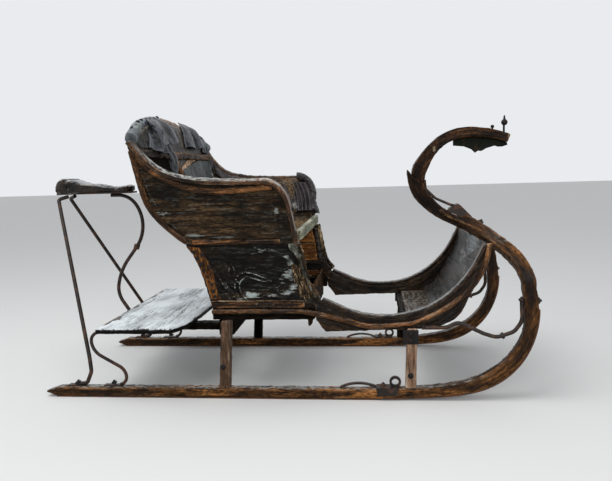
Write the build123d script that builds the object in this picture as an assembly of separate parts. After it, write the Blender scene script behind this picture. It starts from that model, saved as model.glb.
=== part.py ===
from build123d import *
import math
import os

os.makedirs("parts", exist_ok=True)

# An old one-horse passenger sleigh: bent runners that close into a swan neck, a flared seat body with
# a rounded back, an open footwell with a missing floor board, and a driver's saddle behind.
# Millimetres, +X forward, +Y to the sleigh's left, +Z up, origin on the ground below the middle.
# Side pieces are drawn for the right side, in the plane of their wall, and mirrored for the left.

# Runners
HALF_TRACK = 380          # middle of each runner from the centre line
RUNNER_WIDTH = 46
SHOE = 5                  # thickness of the iron shoe
SHOE_WIDTH = 38
RUNNER_TOP = 45           # top of the flat stretch
TAIL_X = -988
FLAT_END_X = 300          # here the runner starts to rise
SHOULDER_DEPTH = 50       # of the bent timber where it turns in towards the neck

# Neck
NECK_WIDTH = 50

# Posts, bolsters, sills
POST_WIDTH = 44
BOLSTER_BASE = 262
SILL_BASE = 335
SILL_TOP = 388
SILL_INNER = HALF_TRACK - 40
REAR_X = -232             # rear end of the sills and of the lower body
SILL_FRONT_X = 202

# Body
SIDE_FACE = HALF_TRACK - 2  # outer face of the sills and footwell sides
WALL = 18                 # thickness of the body boards
MID_Z = 660               # height of the middle rail, where the flare starts
MID_HALF = SIDE_FACE + 32  # half width of the body there
FLARE = 19.8              # outward lean of the upper sides, degrees
BOARD = 22                # thickness of the footwell sides

# Platform behind
PLATFORM_TOP = 312
PLATFORM = 22
PLATFORM_HALF = HALF_TRACK + 60
PLATFORM_REAR_X = -726
PLATFORM_FRONT_X = -340

# Saddle
SADDLE_BASE = 876
SADDLE_PLATE = 8
ROD = 8.5                 # radius of the saddle rods

# Clearance between a soft pad and what it rests on
REST_GAP = 0.3

pieces = {}


def turn_of(heading, start, end):
    """Degrees between a heading and the chord from start to end."""
    chord = math.degrees(math.atan2(end[1] - start[1], end[0] - start[0]))
    return (chord - heading + 180) % 360 - 180


def chain(start, heading, *points):
    """Arcs through the points, each tangent to the one before, as a flat wire."""
    edges = []
    for point in points:
        turn = turn_of(heading, start, point)
        if abs(turn) < 0.2:
            edges.append(Line(start, point))
        else:
            way = (math.cos(math.radians(heading)), math.sin(math.radians(heading)))
            edges.append(TangentArc(start, point, tangent=way))
            heading = heading + 2 * turn
        start = point
    return edges


def reverse(edges):
    """The same edges run the other way."""
    back = []
    for e in reversed(edges):
        bent = e.geom_type != GeomType.LINE
        back.append(ThreePointArc(e @ 1, e @ 0.5, e @ 0) if bent else Line(e @ 1, e @ 0))
    return back


def outline(*groups):
    """A face closed by straight lines between groups of joined edges."""
    edges = []
    for group in groups:
        if edges and (edges[-1] @ 1 - group[0] @ 0).length > 1e-4:
            edges.append(Line(edges[-1] @ 1, group[0] @ 0))
        edges.extend(group)
    if (edges[-1] @ 1 - edges[0] @ 0).length > 1e-4:
        edges.append(Line(edges[-1] @ 1, edges[0] @ 0))
    return make_face(edges)


def straight(*points):
    return [Line(a, b) for a, b in zip(points, points[1:])]


def upright(y):
    """The plane at Y=y that faces right, drawn in X and Z."""
    return Plane(origin=(0, y, 0), x_dir=(1, 0, 0), z_dir=(0, -1, 0))


def slab(face, y_low, y_high):
    """A face drawn in X and Z, as thick as from y_low to y_high."""
    return extrude(upright(y_high) * face, y_high - y_low)


def swept(section, path, outward):
    """The section along the path, its own y axis held to the outward direction."""
    start = path % 0
    at = Plane(origin=path @ 0, x_dir=Vector(outward).cross(start), z_dir=start)
    return sweep(at * section, path=path)


def across(path):
    """The plane that a board bent along the path starts on, its width along Y."""
    way = path % 0
    return Plane(origin=path @ 0, x_dir=way.cross(Vector(0, 1, 0)), z_dir=way)


def moulding(plane, edges, section):
    return swept(section, Wire([plane * edge for edge in edges]), plane.z_dir)


def bead(width, depth):
    """A half-round moulding's section: flat on the wall, rounded outside."""
    half = width / 2
    rim = depth * 0.35
    sides = [Line((half, 0), (half, rim)), Line((-half, rim), (-half, 0))]
    crown = ThreePointArc((half, rim), (0, depth), (-half, rim))
    return make_face([sides[0], crown, sides[1], Line((-half, 0), (half, 0))])


def strip(width, low, high):
    """A flat section, width wide and from low to high above the wall."""
    return Pos(0, (low + high) / 2) * Rectangle(width, high - low)


def rod(points, radii, radius):
    """A round iron rod along straight runs with rounded corners."""
    path = FilletPolyline(*points, radius=radii)
    way = path % 0
    return sweep(Plane(origin=path @ 0, z_dir=way) * Circle(radius), path=path)


def pair(name, right):
    pieces[name + "_right"] = right
    pieces[name + "_left"] = mirror(right, about=Plane.XZ)


def both_sides(name, right):
    """One node for two small like pieces, one on each side."""
    pieces[name] = right + mirror(right, about=Plane.XZ)


# Walls of the body: the lower sides lean out a little from the sills, the upper sides lean out more
LOW_LEAN = math.degrees(math.atan2(MID_HALF - SIDE_FACE, MID_Z - SILL_TOP))


def leaning(half, z, lean):
    a = math.radians(lean)
    return Plane(origin=(0, -half, z), x_dir=(1, 0, 0), z_dir=(0, -math.cos(a), -math.sin(a)))


UPPER = leaning(MID_HALF, MID_Z, FLARE)
LOWER = leaning(SIDE_FACE, SILL_TOP, LOW_LEAN)
WALL_PLANE = upright(-SIDE_FACE)


def on_upper(x, z):
    return (x, (z - MID_Z) / math.cos(math.radians(FLARE)))


def on_lower(x, z):
    return (x, (z - SILL_TOP) / math.cos(math.radians(LOW_LEAN)))


def half_width(z):
    """Half width of the body's outer faces at a height."""
    if z < MID_Z:
        return SIDE_FACE + (z - SILL_TOP) * math.tan(math.radians(LOW_LEAN))
    return MID_HALF + (z - MID_Z) * math.tan(math.radians(FLARE))


def inside(gap, top=1300):
    """All the space between the side walls, gap short of their inner faces."""
    low = WALL / math.cos(math.radians(LOW_LEAN)) + gap
    high = WALL / math.cos(math.radians(FLARE)) + gap
    right = [
        (half_width(SILL_TOP) - low, SILL_TOP),
        (half_width(MID_Z) - high, MID_Z),
        (half_width(top) - high, top),
    ]
    left = [(-y, z) for y, z in reversed(right)]
    return extrude(Plane.YZ * make_face(straight(*right, *left, right[0])), 800, both=True)


# Runners: ash timbers, flat behind and bent up in front, then turned in to the neck
RUNNER_OUT = chain((FLAT_END_X, SHOE), 0,
                   (743, 22), (858, 43), (969, 101), (1048, 196), (1092, 377), (1082, 463))
RUNNER_IN = chain((FLAT_END_X, RUNNER_TOP), 0,
                  (619, 52), (790, 75), (927, 136), (1016, 236), (1041, 340), (1031, 455))
tail = straight((FLAT_END_X, RUNNER_TOP), (TAIL_X + 62, RUNNER_TOP), (TAIL_X, 24), (TAIL_X + 45, SHOE),
                (FLAT_END_X, SHOE))
runner_face = outline(tail, RUNNER_OUT, reverse(RUNNER_IN))
flat_part = slab(runner_face, -HALF_TRACK - RUNNER_WIDTH / 2, -HALF_TRACK + RUNNER_WIDTH / 2)

# Middle line of the shoulder: x, distance from the centre line as a share of the half track, z.
# It feathers out against the side of the neck.
SHOULDER = [
    (1056.5, 1.000, 459),
    (1049, 0.989, 505),
    (1030, 0.911, 552),
    (1000, 0.721, 595),
    (966, 0.482, 626),
    (929, 0.263, 656),
    (888, 0.124, 684),
    (850, 0.042, 703),
    (800, 0.012, 727),
    (752, 0.003, 757),
]
spots = [Vector(x, -share * HALF_TRACK, z) for x, share, z in SHOULDER]
out_way = Vector(51, 0, 8)
sections = []
for i, spot in enumerate(spots):
    before = spots[max(i - 1, 0)]
    after = spots[min(i + 1, len(spots) - 1)]
    along = (after - before).normalized() if i else out_way.cross(Vector(0, 1, 0)) * -1
    out_way = (out_way - along * out_way.dot(along)).normalized()
    place = Plane(origin=spot, x_dir=out_way, z_dir=along)
    sections.append(place * Rectangle(SHOULDER_DEPTH + 2, RUNNER_WIDTH))
shoulder = loft(sections)
FAR = 3000                # larger than the whole sleigh
keep = Pos(0, -(NECK_WIDTH + FAR) / 2, 0) * Box(FAR, FAR, FAR)
pair("runner", flat_part + (shoulder & keep))

shoe_path = [Line((TAIL_X + 48, SHOE), (FLAT_END_X, SHOE))] + RUNNER_OUT[:5]
shoe_plane = upright(-HALF_TRACK)
shoe_end = shoe_plane.from_local_coords((TAIL_X + 48, SHOE, 0))
shoe_start = Plane(origin=shoe_end, x_dir=(0, 1, 0), z_dir=(1, 0, 0))
shoe_section = Pos(0, -SHOE / 2) * Rectangle(SHOE_WIDTH, SHOE)
pair("runner_shoe", sweep(shoe_start * shoe_section, path=Wire([shoe_plane * e for e in shoe_path])))

# Swan neck: a lower timber between the runner ends and an upper one scarfed to it, bent over to the head
neck_back = chain((945, 612), 150, (780, 699), (656, 791), (614, 872), (606, 944))
neck_front = chain((985, 652), 140, (850, 720), (745, 781), (693, 840), (684, 872))
neck_lower = slab(outline(neck_back, straight((606, 944), (626, 915), (684, 872)), reverse(neck_front)),
                  -NECK_WIDTH / 2, NECK_WIDTH / 2)
head_out = chain((626, 915), 85,
                 (651, 984), (721, 1064), (795, 1109), (879, 1123), (970, 1112), (1062, 1083))
head_in = chain((684, 872), 92,
                (697, 940), (732, 1004), (795, 1058), (880, 1078), (976, 1070), (1048, 1050))
neck_upper = slab(outline(head_out, reverse(head_in)), -NECK_WIDTH / 2, NECK_WIDTH / 2)
pieces["neck_lower"] = neck_lower
pieces["neck_upper"] = neck_upper

# Torn sheet that hangs under the head
SHEET = 5
torn_edge = straight((813, 1092), (813, 1042), (861, 1037), (894, 1023), (910, 1007), (923, 1016),
                     (938, 1014), (960, 1026), (996, 1036), (1010, 1031), (1029, 1031), (1052, 1038),
                     (1046, 1062), (960, 1092))
pieces["head_sheet"] = slab(outline(torn_edge), -SHEET / 2, SHEET / 2) - neck_upper

# Finial and knob on the head
stem = Pos(1036, 0, 1105) * Cylinder(4.5, 50)
ball = Pos(1038, 0, 1138) * Sphere(14)
tip = Pos(1038, 0, 1159) * Cone(6, 2.5, 20)
knob = Pos(986, 0, 1121) * Sphere(8) + Pos(986, 0, 1110) * Cylinder(4, 18)
pieces["head_finial"] = (stem + ball + tip + knob) - neck_upper

# Bow iron in front of the neck, with the wedge plate that it is bolted to
wedge = slab(outline(straight((790, 745), (797, 762), (833, 781), (845, 772), (893, 722), (893, 700))),
             -NECK_WIDTH / 2, NECK_WIDTH / 2) - neck_lower
bow = rod([(686, 0, 892), (690, 0, 850), (735, 0, 806), (800, 0, 776), (826, 0, 770)], [18, 40, 60], 6)
pieces["neck_bow_iron"] = (bow + wedge) - neck_lower - neck_upper

# Footwell: bent side boards, with a lip on top and a bead outside that runs on from the body's foot
BEAD_BEND = chain((141, 372), -8, (282, 345), (375, 319), (469, 308), (562, 315), (654, 339), (746, 391),
                  (800, 432), (882, 548), (904, 643))
BEAD_LINE = [Line((REAR_X, 372), (141, 372))] + BEAD_BEND
FOOT = chain((629, 294), 1.6, (740, 318), (808, 385), (862, 490), (904, 643))
LIP_DROP = 14
side_top = chain((231, 414), -26, (330, 369), (442, 341), (553, 343), (682, 384), (795, 471), (862, 566),
                 (895, 634))
side_rear = straight((SILL_FRONT_X, SILL_TOP), (SILL_FRONT_X, 425), (231, 414))
side_foot = straight((629, 294), (243, 283), (205, 335), (SILL_FRONT_X, SILL_TOP))
side_face = outline(side_rear, side_top, reverse(FOOT), side_foot)
footwell_side = slab(side_face, -SIDE_FACE, -SIDE_FACE + BOARD)
pair("footwell_side", footwell_side)
foot_bead = moulding(WALL_PLANE, BEAD_LINE, bead(22, 14))
pair("foot_bead", foot_bead)
lip = moulding(upright(-SIDE_FACE + BOARD / 2), side_top, Pos(LIP_DROP / 2, 0) * Rectangle(LIP_DROP, 36))
lip = lip - footwell_side - foot_bead
pair("footwell_lip", lip)

# Sills on the rear posts
sill = Pos((REAR_X + SILL_FRONT_X) / 2, -(SILL_INNER + SIDE_FACE) / 2, (SILL_BASE + SILL_TOP) / 2) * Box(
    SILL_FRONT_X - REAR_X, SIDE_FACE - SILL_INNER, SILL_TOP - SILL_BASE)
pair("sill", sill)

# Posts: x at the foot and at the head, each as rear and front edge, and the head's height
POSTS = {
    "rear_post": {"foot": (-212, -168), "head": (-192, -149), "top": SILL_BASE},
    "front_post": {"foot": (567, 611), "head": (578, 617), "top": 300},
}
runner_right = pieces["runner_right"]
for name, p in POSTS.items():
    corners = [(p["foot"][0], 40), (p["foot"][1], 40), (p["head"][1], p["top"]), (p["head"][0], p["top"])]
    post = slab(outline(straight(*corners)), -HALF_TRACK - POST_WIDTH / 2, -HALF_TRACK + POST_WIDTH / 2)
    pair(name, post - runner_right - footwell_side)

# Cross bolsters between the post heads
bolster_half = HALF_TRACK - POST_WIDTH / 2
bolster_depth = SILL_BASE - BOLSTER_BASE
rear_bolster = Box(62, 2 * bolster_half, bolster_depth)
pieces["rear_bolster"] = Pos(-181, 0, BOLSTER_BASE + bolster_depth / 2) * rear_bolster
pieces["front_bolster"] = Pos(594, 0, 267) * Box(56, 2 * (SIDE_FACE - BOARD), 46)
for side in ("left", "right"):
    pieces["front_bolster"] -= pieces["front_post_" + side]

# Floors: under the seat, and the one board left in front
FLOOR = 16
RISER_X = 168             # rear face of the riser, where the floor under the seat ends
RISER = 14
floor_rear_x = REAR_X + 10
seat_floor = Box(RISER_X - floor_rear_x, 2 * SILL_INNER, FLOOR)
pieces["seat_floor"] = Pos((RISER_X + floor_rear_x) / 2, 0, SILL_BASE + FLOOR / 2) * seat_floor

# Dash: a bent board between the footwell sides, from the floor up to the neck
DASH = 12
dash_line = chain((705, 314), 20, (797, 397), (850, 495), (892, 640))
dash_half = SIDE_FACE - BOARD
dash_section = Rectangle(DASH, 2 * dash_half)
dash_path = Wire([upright(0) * e for e in dash_line])
dash_start = across(dash_path)
dash = sweep(dash_start * dash_section, path=dash_path) - neck_lower
for side in ("left", "right"):
    dash = dash - pieces["footwell_lip_" + side] - pieces["runner_" + side]
pieces["dash"] = dash
floor_face = outline(straight((590, 290), (590, 290 + FLOOR), (716, 290 + FLOOR), (716, 296), (680, 290)))
pieces["front_floor"] = slab(floor_face, -dash_half, dash_half) - dash

# Riser between the sills, with a cheek board on the inside of each side wall
RISER_BASE = 300
RISER_TOP = 432
RISER_MID_X = RISER_X + RISER / 2
riser = Pos(RISER_MID_X, 0, (RISER_BASE + SILL_TOP) / 2) * Box(RISER, 2 * SILL_INNER, SILL_TOP - RISER_BASE)
riser += Pos(RISER_MID_X, 0, (SILL_TOP + RISER_TOP) / 2) * Box(RISER, 2 * dash_half, RISER_TOP - SILL_TOP)
CHEEK = 6
CHEEK_FRONT_X = 226
CHEEK_FRONT_TOP = 418
cheek_face = outline(straight(on_lower(RISER_X, SILL_TOP), on_lower(CHEEK_FRONT_X, SILL_TOP),
                              on_lower(CHEEK_FRONT_X, CHEEK_FRONT_TOP), on_lower(RISER_X, RISER_TOP),
                              on_lower(RISER_X, SILL_TOP)))
cheek_board = extrude(LOWER.offset(-WALL) * cheek_face, -CHEEK) - footwell_side - lip - riser
cheek_left = mirror(cheek_board, about=Plane.XZ)
pieces["riser_board"] = riser + cheek_board + cheek_left

# Side walls of the body
REAR_UPPER = chain((-489, 1086), -85, (-474, 880), (-428, 764), (-325, MID_Z))
TOP_LINE = chain((28, 921), 180, (-172, 926), (-304, 944), (-397, 993), (-489, 1116))
FRONT_UPPER = chain((28, 921), 0, (88, 896), (125, 817), (150, MID_Z))


def lifted(edges, place):
    """The same arcs, with their points taken from X and Z into a leaning wall's plane."""
    points = [edges[0] @ 0] + [e @ 1 for e in edges]
    first = edges[0] % 0
    ratio = place(0, MID_Z + 100)[1] - place(0, MID_Z)[1]
    heading = math.degrees(math.atan2(first.Y * ratio / 100, first.X))
    flat = [place(p.X, p.Y) for p in points]
    return chain(flat[0], heading, *flat[1:])


top_line = lifted(TOP_LINE, on_upper)
front_upper = lifted(FRONT_UPPER, on_upper)
rear_upper = lifted(REAR_UPPER, on_upper)
upper_foot = [Line(rear_upper[-1] @ 1, front_upper[-1] @ 1)]
upper_face = outline(rear_upper, upper_foot, reverse(front_upper), top_line)
upper_side = extrude(UPPER * upper_face, -WALL)

REAR_LOWER = chain((-325, MID_Z), -48, (-273, 564), (REAR_X, SILL_TOP))
FRONT_LOWER = chain((150, MID_Z), -80, (178, 518), (228, 425))
rear_lower = lifted(REAR_LOWER, on_lower)
front_lower = lifted(FRONT_LOWER, on_lower)
lower_face = outline(rear_lower, straight(on_lower(REAR_X, SILL_TOP), on_lower(SILL_FRONT_X, SILL_TOP)),
                     reverse(front_lower))
lower_side = extrude(LOWER * lower_face, -WALL) - footwell_side

# Mouldings: a cap along the top and down the arm's front, a roll below it, one on the rear edge,
# the middle rail, the grooved foot moulding, and a strip down the front edge below the arm
CAP = 16
cap_path = reverse(top_line) + front_upper
cap_section = Pos(-CAP / 2, 0) * Rectangle(CAP, 2 * WALL)
cap = moulding(UPPER, cap_path, cap_section)
roll_line = chain((60, 894), 187, (-141, 879), (-297, 904), (-408, 969), (-455, 1028))
roll = moulding(UPPER, lifted(roll_line, on_upper), bead(26, 14))
rear_line = chain((-474, 1046), -86, (-460, 880), (-416, 772), (-318, 674))
rear_moulding = moulding(UPPER, lifted(rear_line, on_upper), bead(26, 12))
mid_rail = moulding(UPPER, [Line(on_upper(-292, 670), on_upper(74, 670))], bead(20, 14))
foot_moulding = moulding(LOWER, [Line(on_lower(REAR_X, 405), on_lower(160, 405))], strip(32, 0, 10))
front_line = chain((146, 652), -80, (170, 518), (212, 438))
front_strip = moulding(LOWER, lifted(front_line, on_lower), strip(30, 0, 8))

# The rounded back: a bent board between the sides, its top edge an arch
CORNER_Z = 1086
CROWN_Z = 1196
BACK = 14
back_line = chain((-222, 354), 95, (-246, 523), (-315, 655), (-385, 718), (-452, 830), (-468, 950),
                  (-480, 1070), (-540, 1215))
back_path = Wire([upright(0) * e for e in back_line])
back_sheet = sweep(across(back_path) * Rectangle(BACK, 1300), path=back_path)
corner_half = half_width(CORNER_Z)
arch_face = make_face(straight((-corner_half, 340), (corner_half, 340), (corner_half, CORNER_Z))
                      + [ThreePointArc((corner_half, CORNER_Z), (0, CROWN_Z), (-corner_half, CORNER_Z))]
                      + straight((-corner_half, CORNER_Z), (-corner_half, 340)))
arch_space = extrude(Plane.YZ * arch_face, 800, both=True)

# Leather roll along the arch
PAD = 26
PAD_INSET = 14            # of the roll's ends from the outer corners
arch_end = corner_half - PAD_INSET
arch_path = ThreePointArc((-489, -arch_end, CORNER_Z), (-541, 0, CROWN_Z), (-489, arch_end, CORNER_Z))
arch_way = arch_path % 0


def arch_roll(radius):
    return sweep(Plane(origin=arch_path @ 0, z_dir=arch_way) * Circle(radius), path=arch_path)


pieces["arch_pad"] = arch_roll(PAD)
arch_room = arch_roll(PAD + REST_GAP)
back_panel = (back_sheet & arch_space & inside(0)) - arch_room
pieces["back_panel"] = back_panel

upper_side = upper_side - cap - arch_room
rear_moulding = rear_moulding - cap - arch_room
roll = roll - rear_moulding - cap - arch_room
cap = cap - arch_room
pair("upper_side", upper_side - roll)
pair("cap_moulding", cap)
both_sides("roll_mouldings", roll)
pair("rear_moulding", rear_moulding)
both_sides("mid_rails", mid_rail - rear_moulding)
lower_side = lower_side - upper_side - cap
pair("lower_side", lower_side)
both_sides("foot_mouldings", foot_moulding)
front_strip = front_strip - mid_rail - cap - foot_moulding
# The left side keeps the cap down its front edge, which the right side has lost
EDGE_OVER = 5              # how far the cap stands over each face of the wall
edge_section = Pos(CAP / 2, -WALL / 2 + EDGE_OVER) * Rectangle(CAP, WALL + 2 * EDGE_OVER)
front_cap = moulding(LOWER, front_lower, edge_section) - cap - front_strip - foot_moulding - lip
front_cap = front_cap - footwell_side - lower_side - foot_bead
pieces["front_strips"] = front_strip + mirror(front_strip + front_cap, about=Plane.XZ)

# Seat: a rail across the front, a board behind it, and a rail across the back
seat_rail = (Pos(146, 0, 691) * Box(24, 1200, 42)) & inside(0)
pieces["seat_rail"] = seat_rail - cap - mirror(cap, about=Plane.XZ)
pieces["seat_board"] = ((Pos(-86, 0, 664) * Box(440, 1200, 18)) & inside(0)) - back_panel
pieces["back_rail"] = ((Pos(-461, 0, 1036) * Box(18, 1200, 30)) & inside(0)) - back_sheet

# Padding inside the arms: thick on the left, with its leather drawn round the arm's front edge, and a
# torn rest on the right
PAD_DEPTH = 28
pad_edge = chain((70, 880), -45, (112, 810), (128, 720))
pad_rear = straight(on_upper(128, 720), on_upper(-30, 720), on_upper(-50, 880))
pad_face = outline(lifted(pad_edge, on_upper), pad_rear)
pad_plane = UPPER.offset(-WALL - REST_GAP)
arm_pad = extrude(pad_plane * pad_face, -PAD_DEPTH)
WRAP = 7                  # how far the leather stands off the panel's outer face
wrap_out = chain((40, 934), 0, (104, 914), (146, 822), (172, 712))
wrap_in = chain((40, 900), -20, (90, 880), (118, 800), (140, 718))
wrap_face = outline(lifted(wrap_out, on_upper), reverse(lifted(wrap_in, on_upper)))
wrap_inside = extrude(pad_plane * wrap_face, -PAD_DEPTH)
wrap_outside = extrude(UPPER.offset(-WALL - 1) * wrap_face, WALL + WRAP)
wrapped = (arm_pad + wrap_inside + wrap_outside) - cap - roll - upper_side
whole = max(wrapped.solids(), key=lambda solid: solid.volume)
pieces["arm_pad_left"] = mirror(whole, about=Plane.XZ)
pieces["arm_pad_right"] = arm_pad & (Pos(95, -500, 800) * Box(110, 400, 400))

# Platform behind the body, on two bearers and two bent brackets
front_corner = ThreePointArc((-400, PLATFORM_HALF), (-366, 380), (-350, 262))
front_edge = ThreePointArc((-350, 262), (PLATFORM_FRONT_X, 0), (-350, -262))
other_corner = ThreePointArc((-350, -262), (-366, -380), (-400, -PLATFORM_HALF))
platform_sides = straight((-400, -PLATFORM_HALF), (PLATFORM_REAR_X, -PLATFORM_HALF),
                          (PLATFORM_REAR_X, PLATFORM_HALF), (-400, PLATFORM_HALF))
platform_face = make_face([front_corner, front_edge, other_corner] + platform_sides)
PLATFORM_BASE = PLATFORM_TOP - PLATFORM
pieces["platform"] = Pos(0, 0, PLATFORM_BASE) * extrude(platform_face, PLATFORM)
bearer_front = -212
bearer = Pos((-700 + bearer_front) / 2, -222, PLATFORM_BASE - 17) * Box(bearer_front + 700, 44, 34)
both_sides("platform_bearers", bearer)

BRACKET = 7
bracket_bend = chain((-735, 283), 180, (-774, 240), (-734, 178), (-655, 133), (-626, 90), (-655, 52))
bracket_line = straight((-690, 283), (-735, 283)) + bracket_bend
bracket_path = Wire([upright(-HALF_TRACK) * e for e in bracket_line])
bracket_start = Plane(origin=bracket_path @ 0, z_dir=bracket_path % 0)
bracket = sweep(bracket_start * Circle(BRACKET), path=bracket_path)
tab = Pos(-700, -HALF_TRACK, 287) * Box(60, 26, 6)
foot = Pos(-685, -HALF_TRACK, RUNNER_TOP + 3) * Box(80, 24, 6)
pair("platform_bracket", bracket + tab + foot)

# Saddle: padded leather on an iron plate, two side rods from the runners and one rod in the middle
saddle_left = [ThreePointArc((-1096, 62), (-1030, 84), (-960, 72)),
               ThreePointArc((-960, 72), (-860, 52), (-760, 56))]
saddle_right = [ThreePointArc((-760, -56), (-860, -52), (-960, -72)),
                ThreePointArc((-960, -72), (-1030, -84), (-1096, -62))]
saddle_nose = ThreePointArc((-760, 56), (-684, 0), (-760, -56))
saddle_plan = make_face([Line((-1096, -62), (-1096, 62))] + saddle_left + [saddle_nose] + saddle_right)
saddle_top = chain((-1097, 905), 70, (-1066, 932), (-1010, 936), (-860, 908), (-700, 903), (-684, 888))
saddle_foot = straight((-684, 888), (-684, SADDLE_BASE), (-1097, SADDLE_BASE), (-1097, 905))
saddle_side = outline(saddle_top, saddle_foot)
saddle = (Pos(0, 0, SADDLE_BASE + REST_GAP) * extrude(saddle_plan, 80)) & slab(saddle_side, -100, 100)
pieces["saddle_pad"] = saddle
pieces["saddle_plate"] = Pos(-880, 0, SADDLE_BASE - SADDLE_PLATE / 2) * Box(370, 84, SADDLE_PLATE)
ROD_TOP = SADDLE_BASE - SADDLE_PLATE - ROD - 0.2
foot_y = -HALF_TRACK
side_rod = rod([(-858, foot_y, 53.5), (-806, foot_y, 56), (-783, foot_y, 108), (-788, foot_y + 2, 168),
                (-1048, -58, 846), (-1010, -32, ROD_TOP)], [18, 40, 60, 12], ROD)
rod_foot = Pos(-852, -HALF_TRACK, RUNNER_TOP + 3) * Box(70, 26, 6)
side_rod = side_rod + rod_foot
pair("saddle_rod", side_rod)
middle_bend = chain((-775, ROD_TOP), 0, (-688, 812), (-661, 735), (-697, 607), (-744, 546), (-801, 419),
                    (-785, 338), (-752, 288))
middle_line = straight((-810, ROD_TOP), (-775, ROD_TOP)) + middle_bend
middle_path = Wire([upright(0) * e for e in middle_line])
middle_rod = sweep(Plane(origin=middle_path @ 0, z_dir=middle_path % 0) * Circle(ROD), path=middle_path)
collar = Plane(origin=(-697, 0, 607), z_dir=(-36, 0, -110)) * Cylinder(14, 22)
rod_tab = Pos(-727, 0, PLATFORM_BASE - 3) * Box(74, 28, 6)
pieces["saddle_middle_rod"] = middle_rod + collar + rod_tab

# Draught irons on the runners: a plate with a fixed eye and an arched strap behind it
EYE_X = 527
EYE_Z = 73
EYE_OUT = 24
EYE_HOLE = 14
EYE_THICK = 12
eye = Pos(EYE_X, -HALF_TRACK, EYE_Z) * Rot(90, 0, 0) * Cylinder(EYE_OUT, EYE_THICK)
eye_hole = Pos(EYE_X, -HALF_TRACK, EYE_Z) * Rot(90, 0, 0) * Cylinder(EYE_HOLE, 80)
plate = Pos(495, -HALF_TRACK - 3, 49) * Box(92, RUNNER_WIDTH + 2, 12)
cheek = Pos(495, -HALF_TRACK - RUNNER_WIDTH / 2 - 3, 38) * Box(86, 6, 34)
arch = moulding(upright(-HALF_TRACK), [ThreePointArc((452, 50), (372, 66), (300, 48))], Rectangle(7, 16))
draught_iron = ((eye + plate + cheek + arch) - eye_hole) - runner_right
pair("draught_iron", draught_iron)

# Front stays from the footwell sides to the runners
STAY = 8
stay_y = -SIDE_FACE - STAY - 1
stay_bends = [(650, 305), (735, 303), (781, 327), (880, 279), (932, 262), (1000, 286), (1031, 330),
              (1027, 420)]
stay = rod([(x, stay_y, z) for x, z in stay_bends], [60, 45, 90, 60, 50, 60], STAY)
stay_pad = Pos(672, -SIDE_FACE - 3, 304) * Box(70, 6, 20)
stay_collar = Pos(955, stay_y, 270) * Rot(0, 70, 0) * Cylinder(13, 10)
pair("front_stay", (stay + stay_pad + stay_collar) - runner_right)

for name, piece in pieces.items():
    piece.label = name
    export_step(piece, "parts/" + name + ".step")
print(len(pieces), "pieces")
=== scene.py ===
import math
import random

import bmesh
import bpy
import numpy as np
from mathutils import Matrix, Vector, noise
from mathutils.bvhtree import BVHTree


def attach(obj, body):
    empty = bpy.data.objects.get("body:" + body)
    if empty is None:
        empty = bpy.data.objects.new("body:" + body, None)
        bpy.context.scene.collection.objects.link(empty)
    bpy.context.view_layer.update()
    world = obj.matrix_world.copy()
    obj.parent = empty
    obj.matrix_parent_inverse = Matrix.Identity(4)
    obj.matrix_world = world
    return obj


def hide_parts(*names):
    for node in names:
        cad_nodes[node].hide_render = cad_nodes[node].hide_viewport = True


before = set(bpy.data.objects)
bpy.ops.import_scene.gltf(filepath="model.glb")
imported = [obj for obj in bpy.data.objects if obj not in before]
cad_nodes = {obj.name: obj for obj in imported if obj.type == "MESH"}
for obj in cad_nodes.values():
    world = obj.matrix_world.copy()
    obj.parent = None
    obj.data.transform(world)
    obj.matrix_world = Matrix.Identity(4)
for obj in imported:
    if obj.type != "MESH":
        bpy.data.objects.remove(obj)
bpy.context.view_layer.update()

# Camera. It stands to the right of the sleigh, a little in front of the middle and as high as the
# arms, and looks slightly down, back towards the tail.
camera = bpy.data.objects.new("photographer", bpy.data.cameras.new("photographer"))
bpy.context.scene.collection.objects.link(camera)
camera.data.sensor_width = 36.0
camera.data.lens = 35.29
turn = Matrix.Rotation(math.radians(6.21), 4, "Z")
tip = Matrix.Rotation(math.radians(90 - 6.58), 4, "X")
roll = Matrix.Rotation(math.radians(-1.71), 4, "Z")
camera.matrix_world = Matrix.Translation((0.4369, -2.7976, 0.9469)) @ turn @ tip @ roll
bpy.context.scene.camera = camera
bpy.context.scene.view_settings.view_transform = "Standard"


# Room. A plain pale floor under an even white sky, with one broad soft lamp overhead and a weaker
# one from the camera's side, so that wet faces turned up catch a pale sheen.
class Wire:
    """An output in a node tree. Arithmetic on it grows Math nodes, and its other ways grow theirs."""

    def __init__(self, tree, socket):
        self.tree = tree
        self.socket = socket

    def math(self, operation, *others):
        wires = dict(enumerate((self, *others)))
        return value_of(self.tree, "ShaderNodeMath", wires, operation=operation)

    def __add__(self, other):
        return self.math("ADD", other)

    def __sub__(self, other):
        return self.math("SUBTRACT", other)

    def __mul__(self, other):
        return self.math("MULTIPLY", other)

    def __neg__(self):
        return self * -1.0

    def kept(self):
        """The same value, kept between 0 and 1."""
        self.socket.node.use_clamp = True
        return self

    def span(self, low, high, first=0.0, last=1.0):
        """The value carried smoothly from low..high to first..last."""
        wires = {"Value": self, "From Min": low, "From Max": high, "To Min": first, "To Max": last}
        return value_of(self.tree, "ShaderNodeMapRange", wires, interpolation_type="SMOOTHSTEP")

    def tint(self, low, high):
        """The value as the share of the high colour in a mix of two."""
        return value_of(self.tree, "ShaderNodeMix", {0: self, 6: low, 7: high}, 2, data_type="RGBA")

    def shaded(self, grey):
        """The colour times a grey."""
        wires = {0: 1.0, 6: self, 7: grey}
        return value_of(self.tree, "ShaderNodeMix", wires, 2, data_type="RGBA", blend_type="MULTIPLY")


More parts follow.
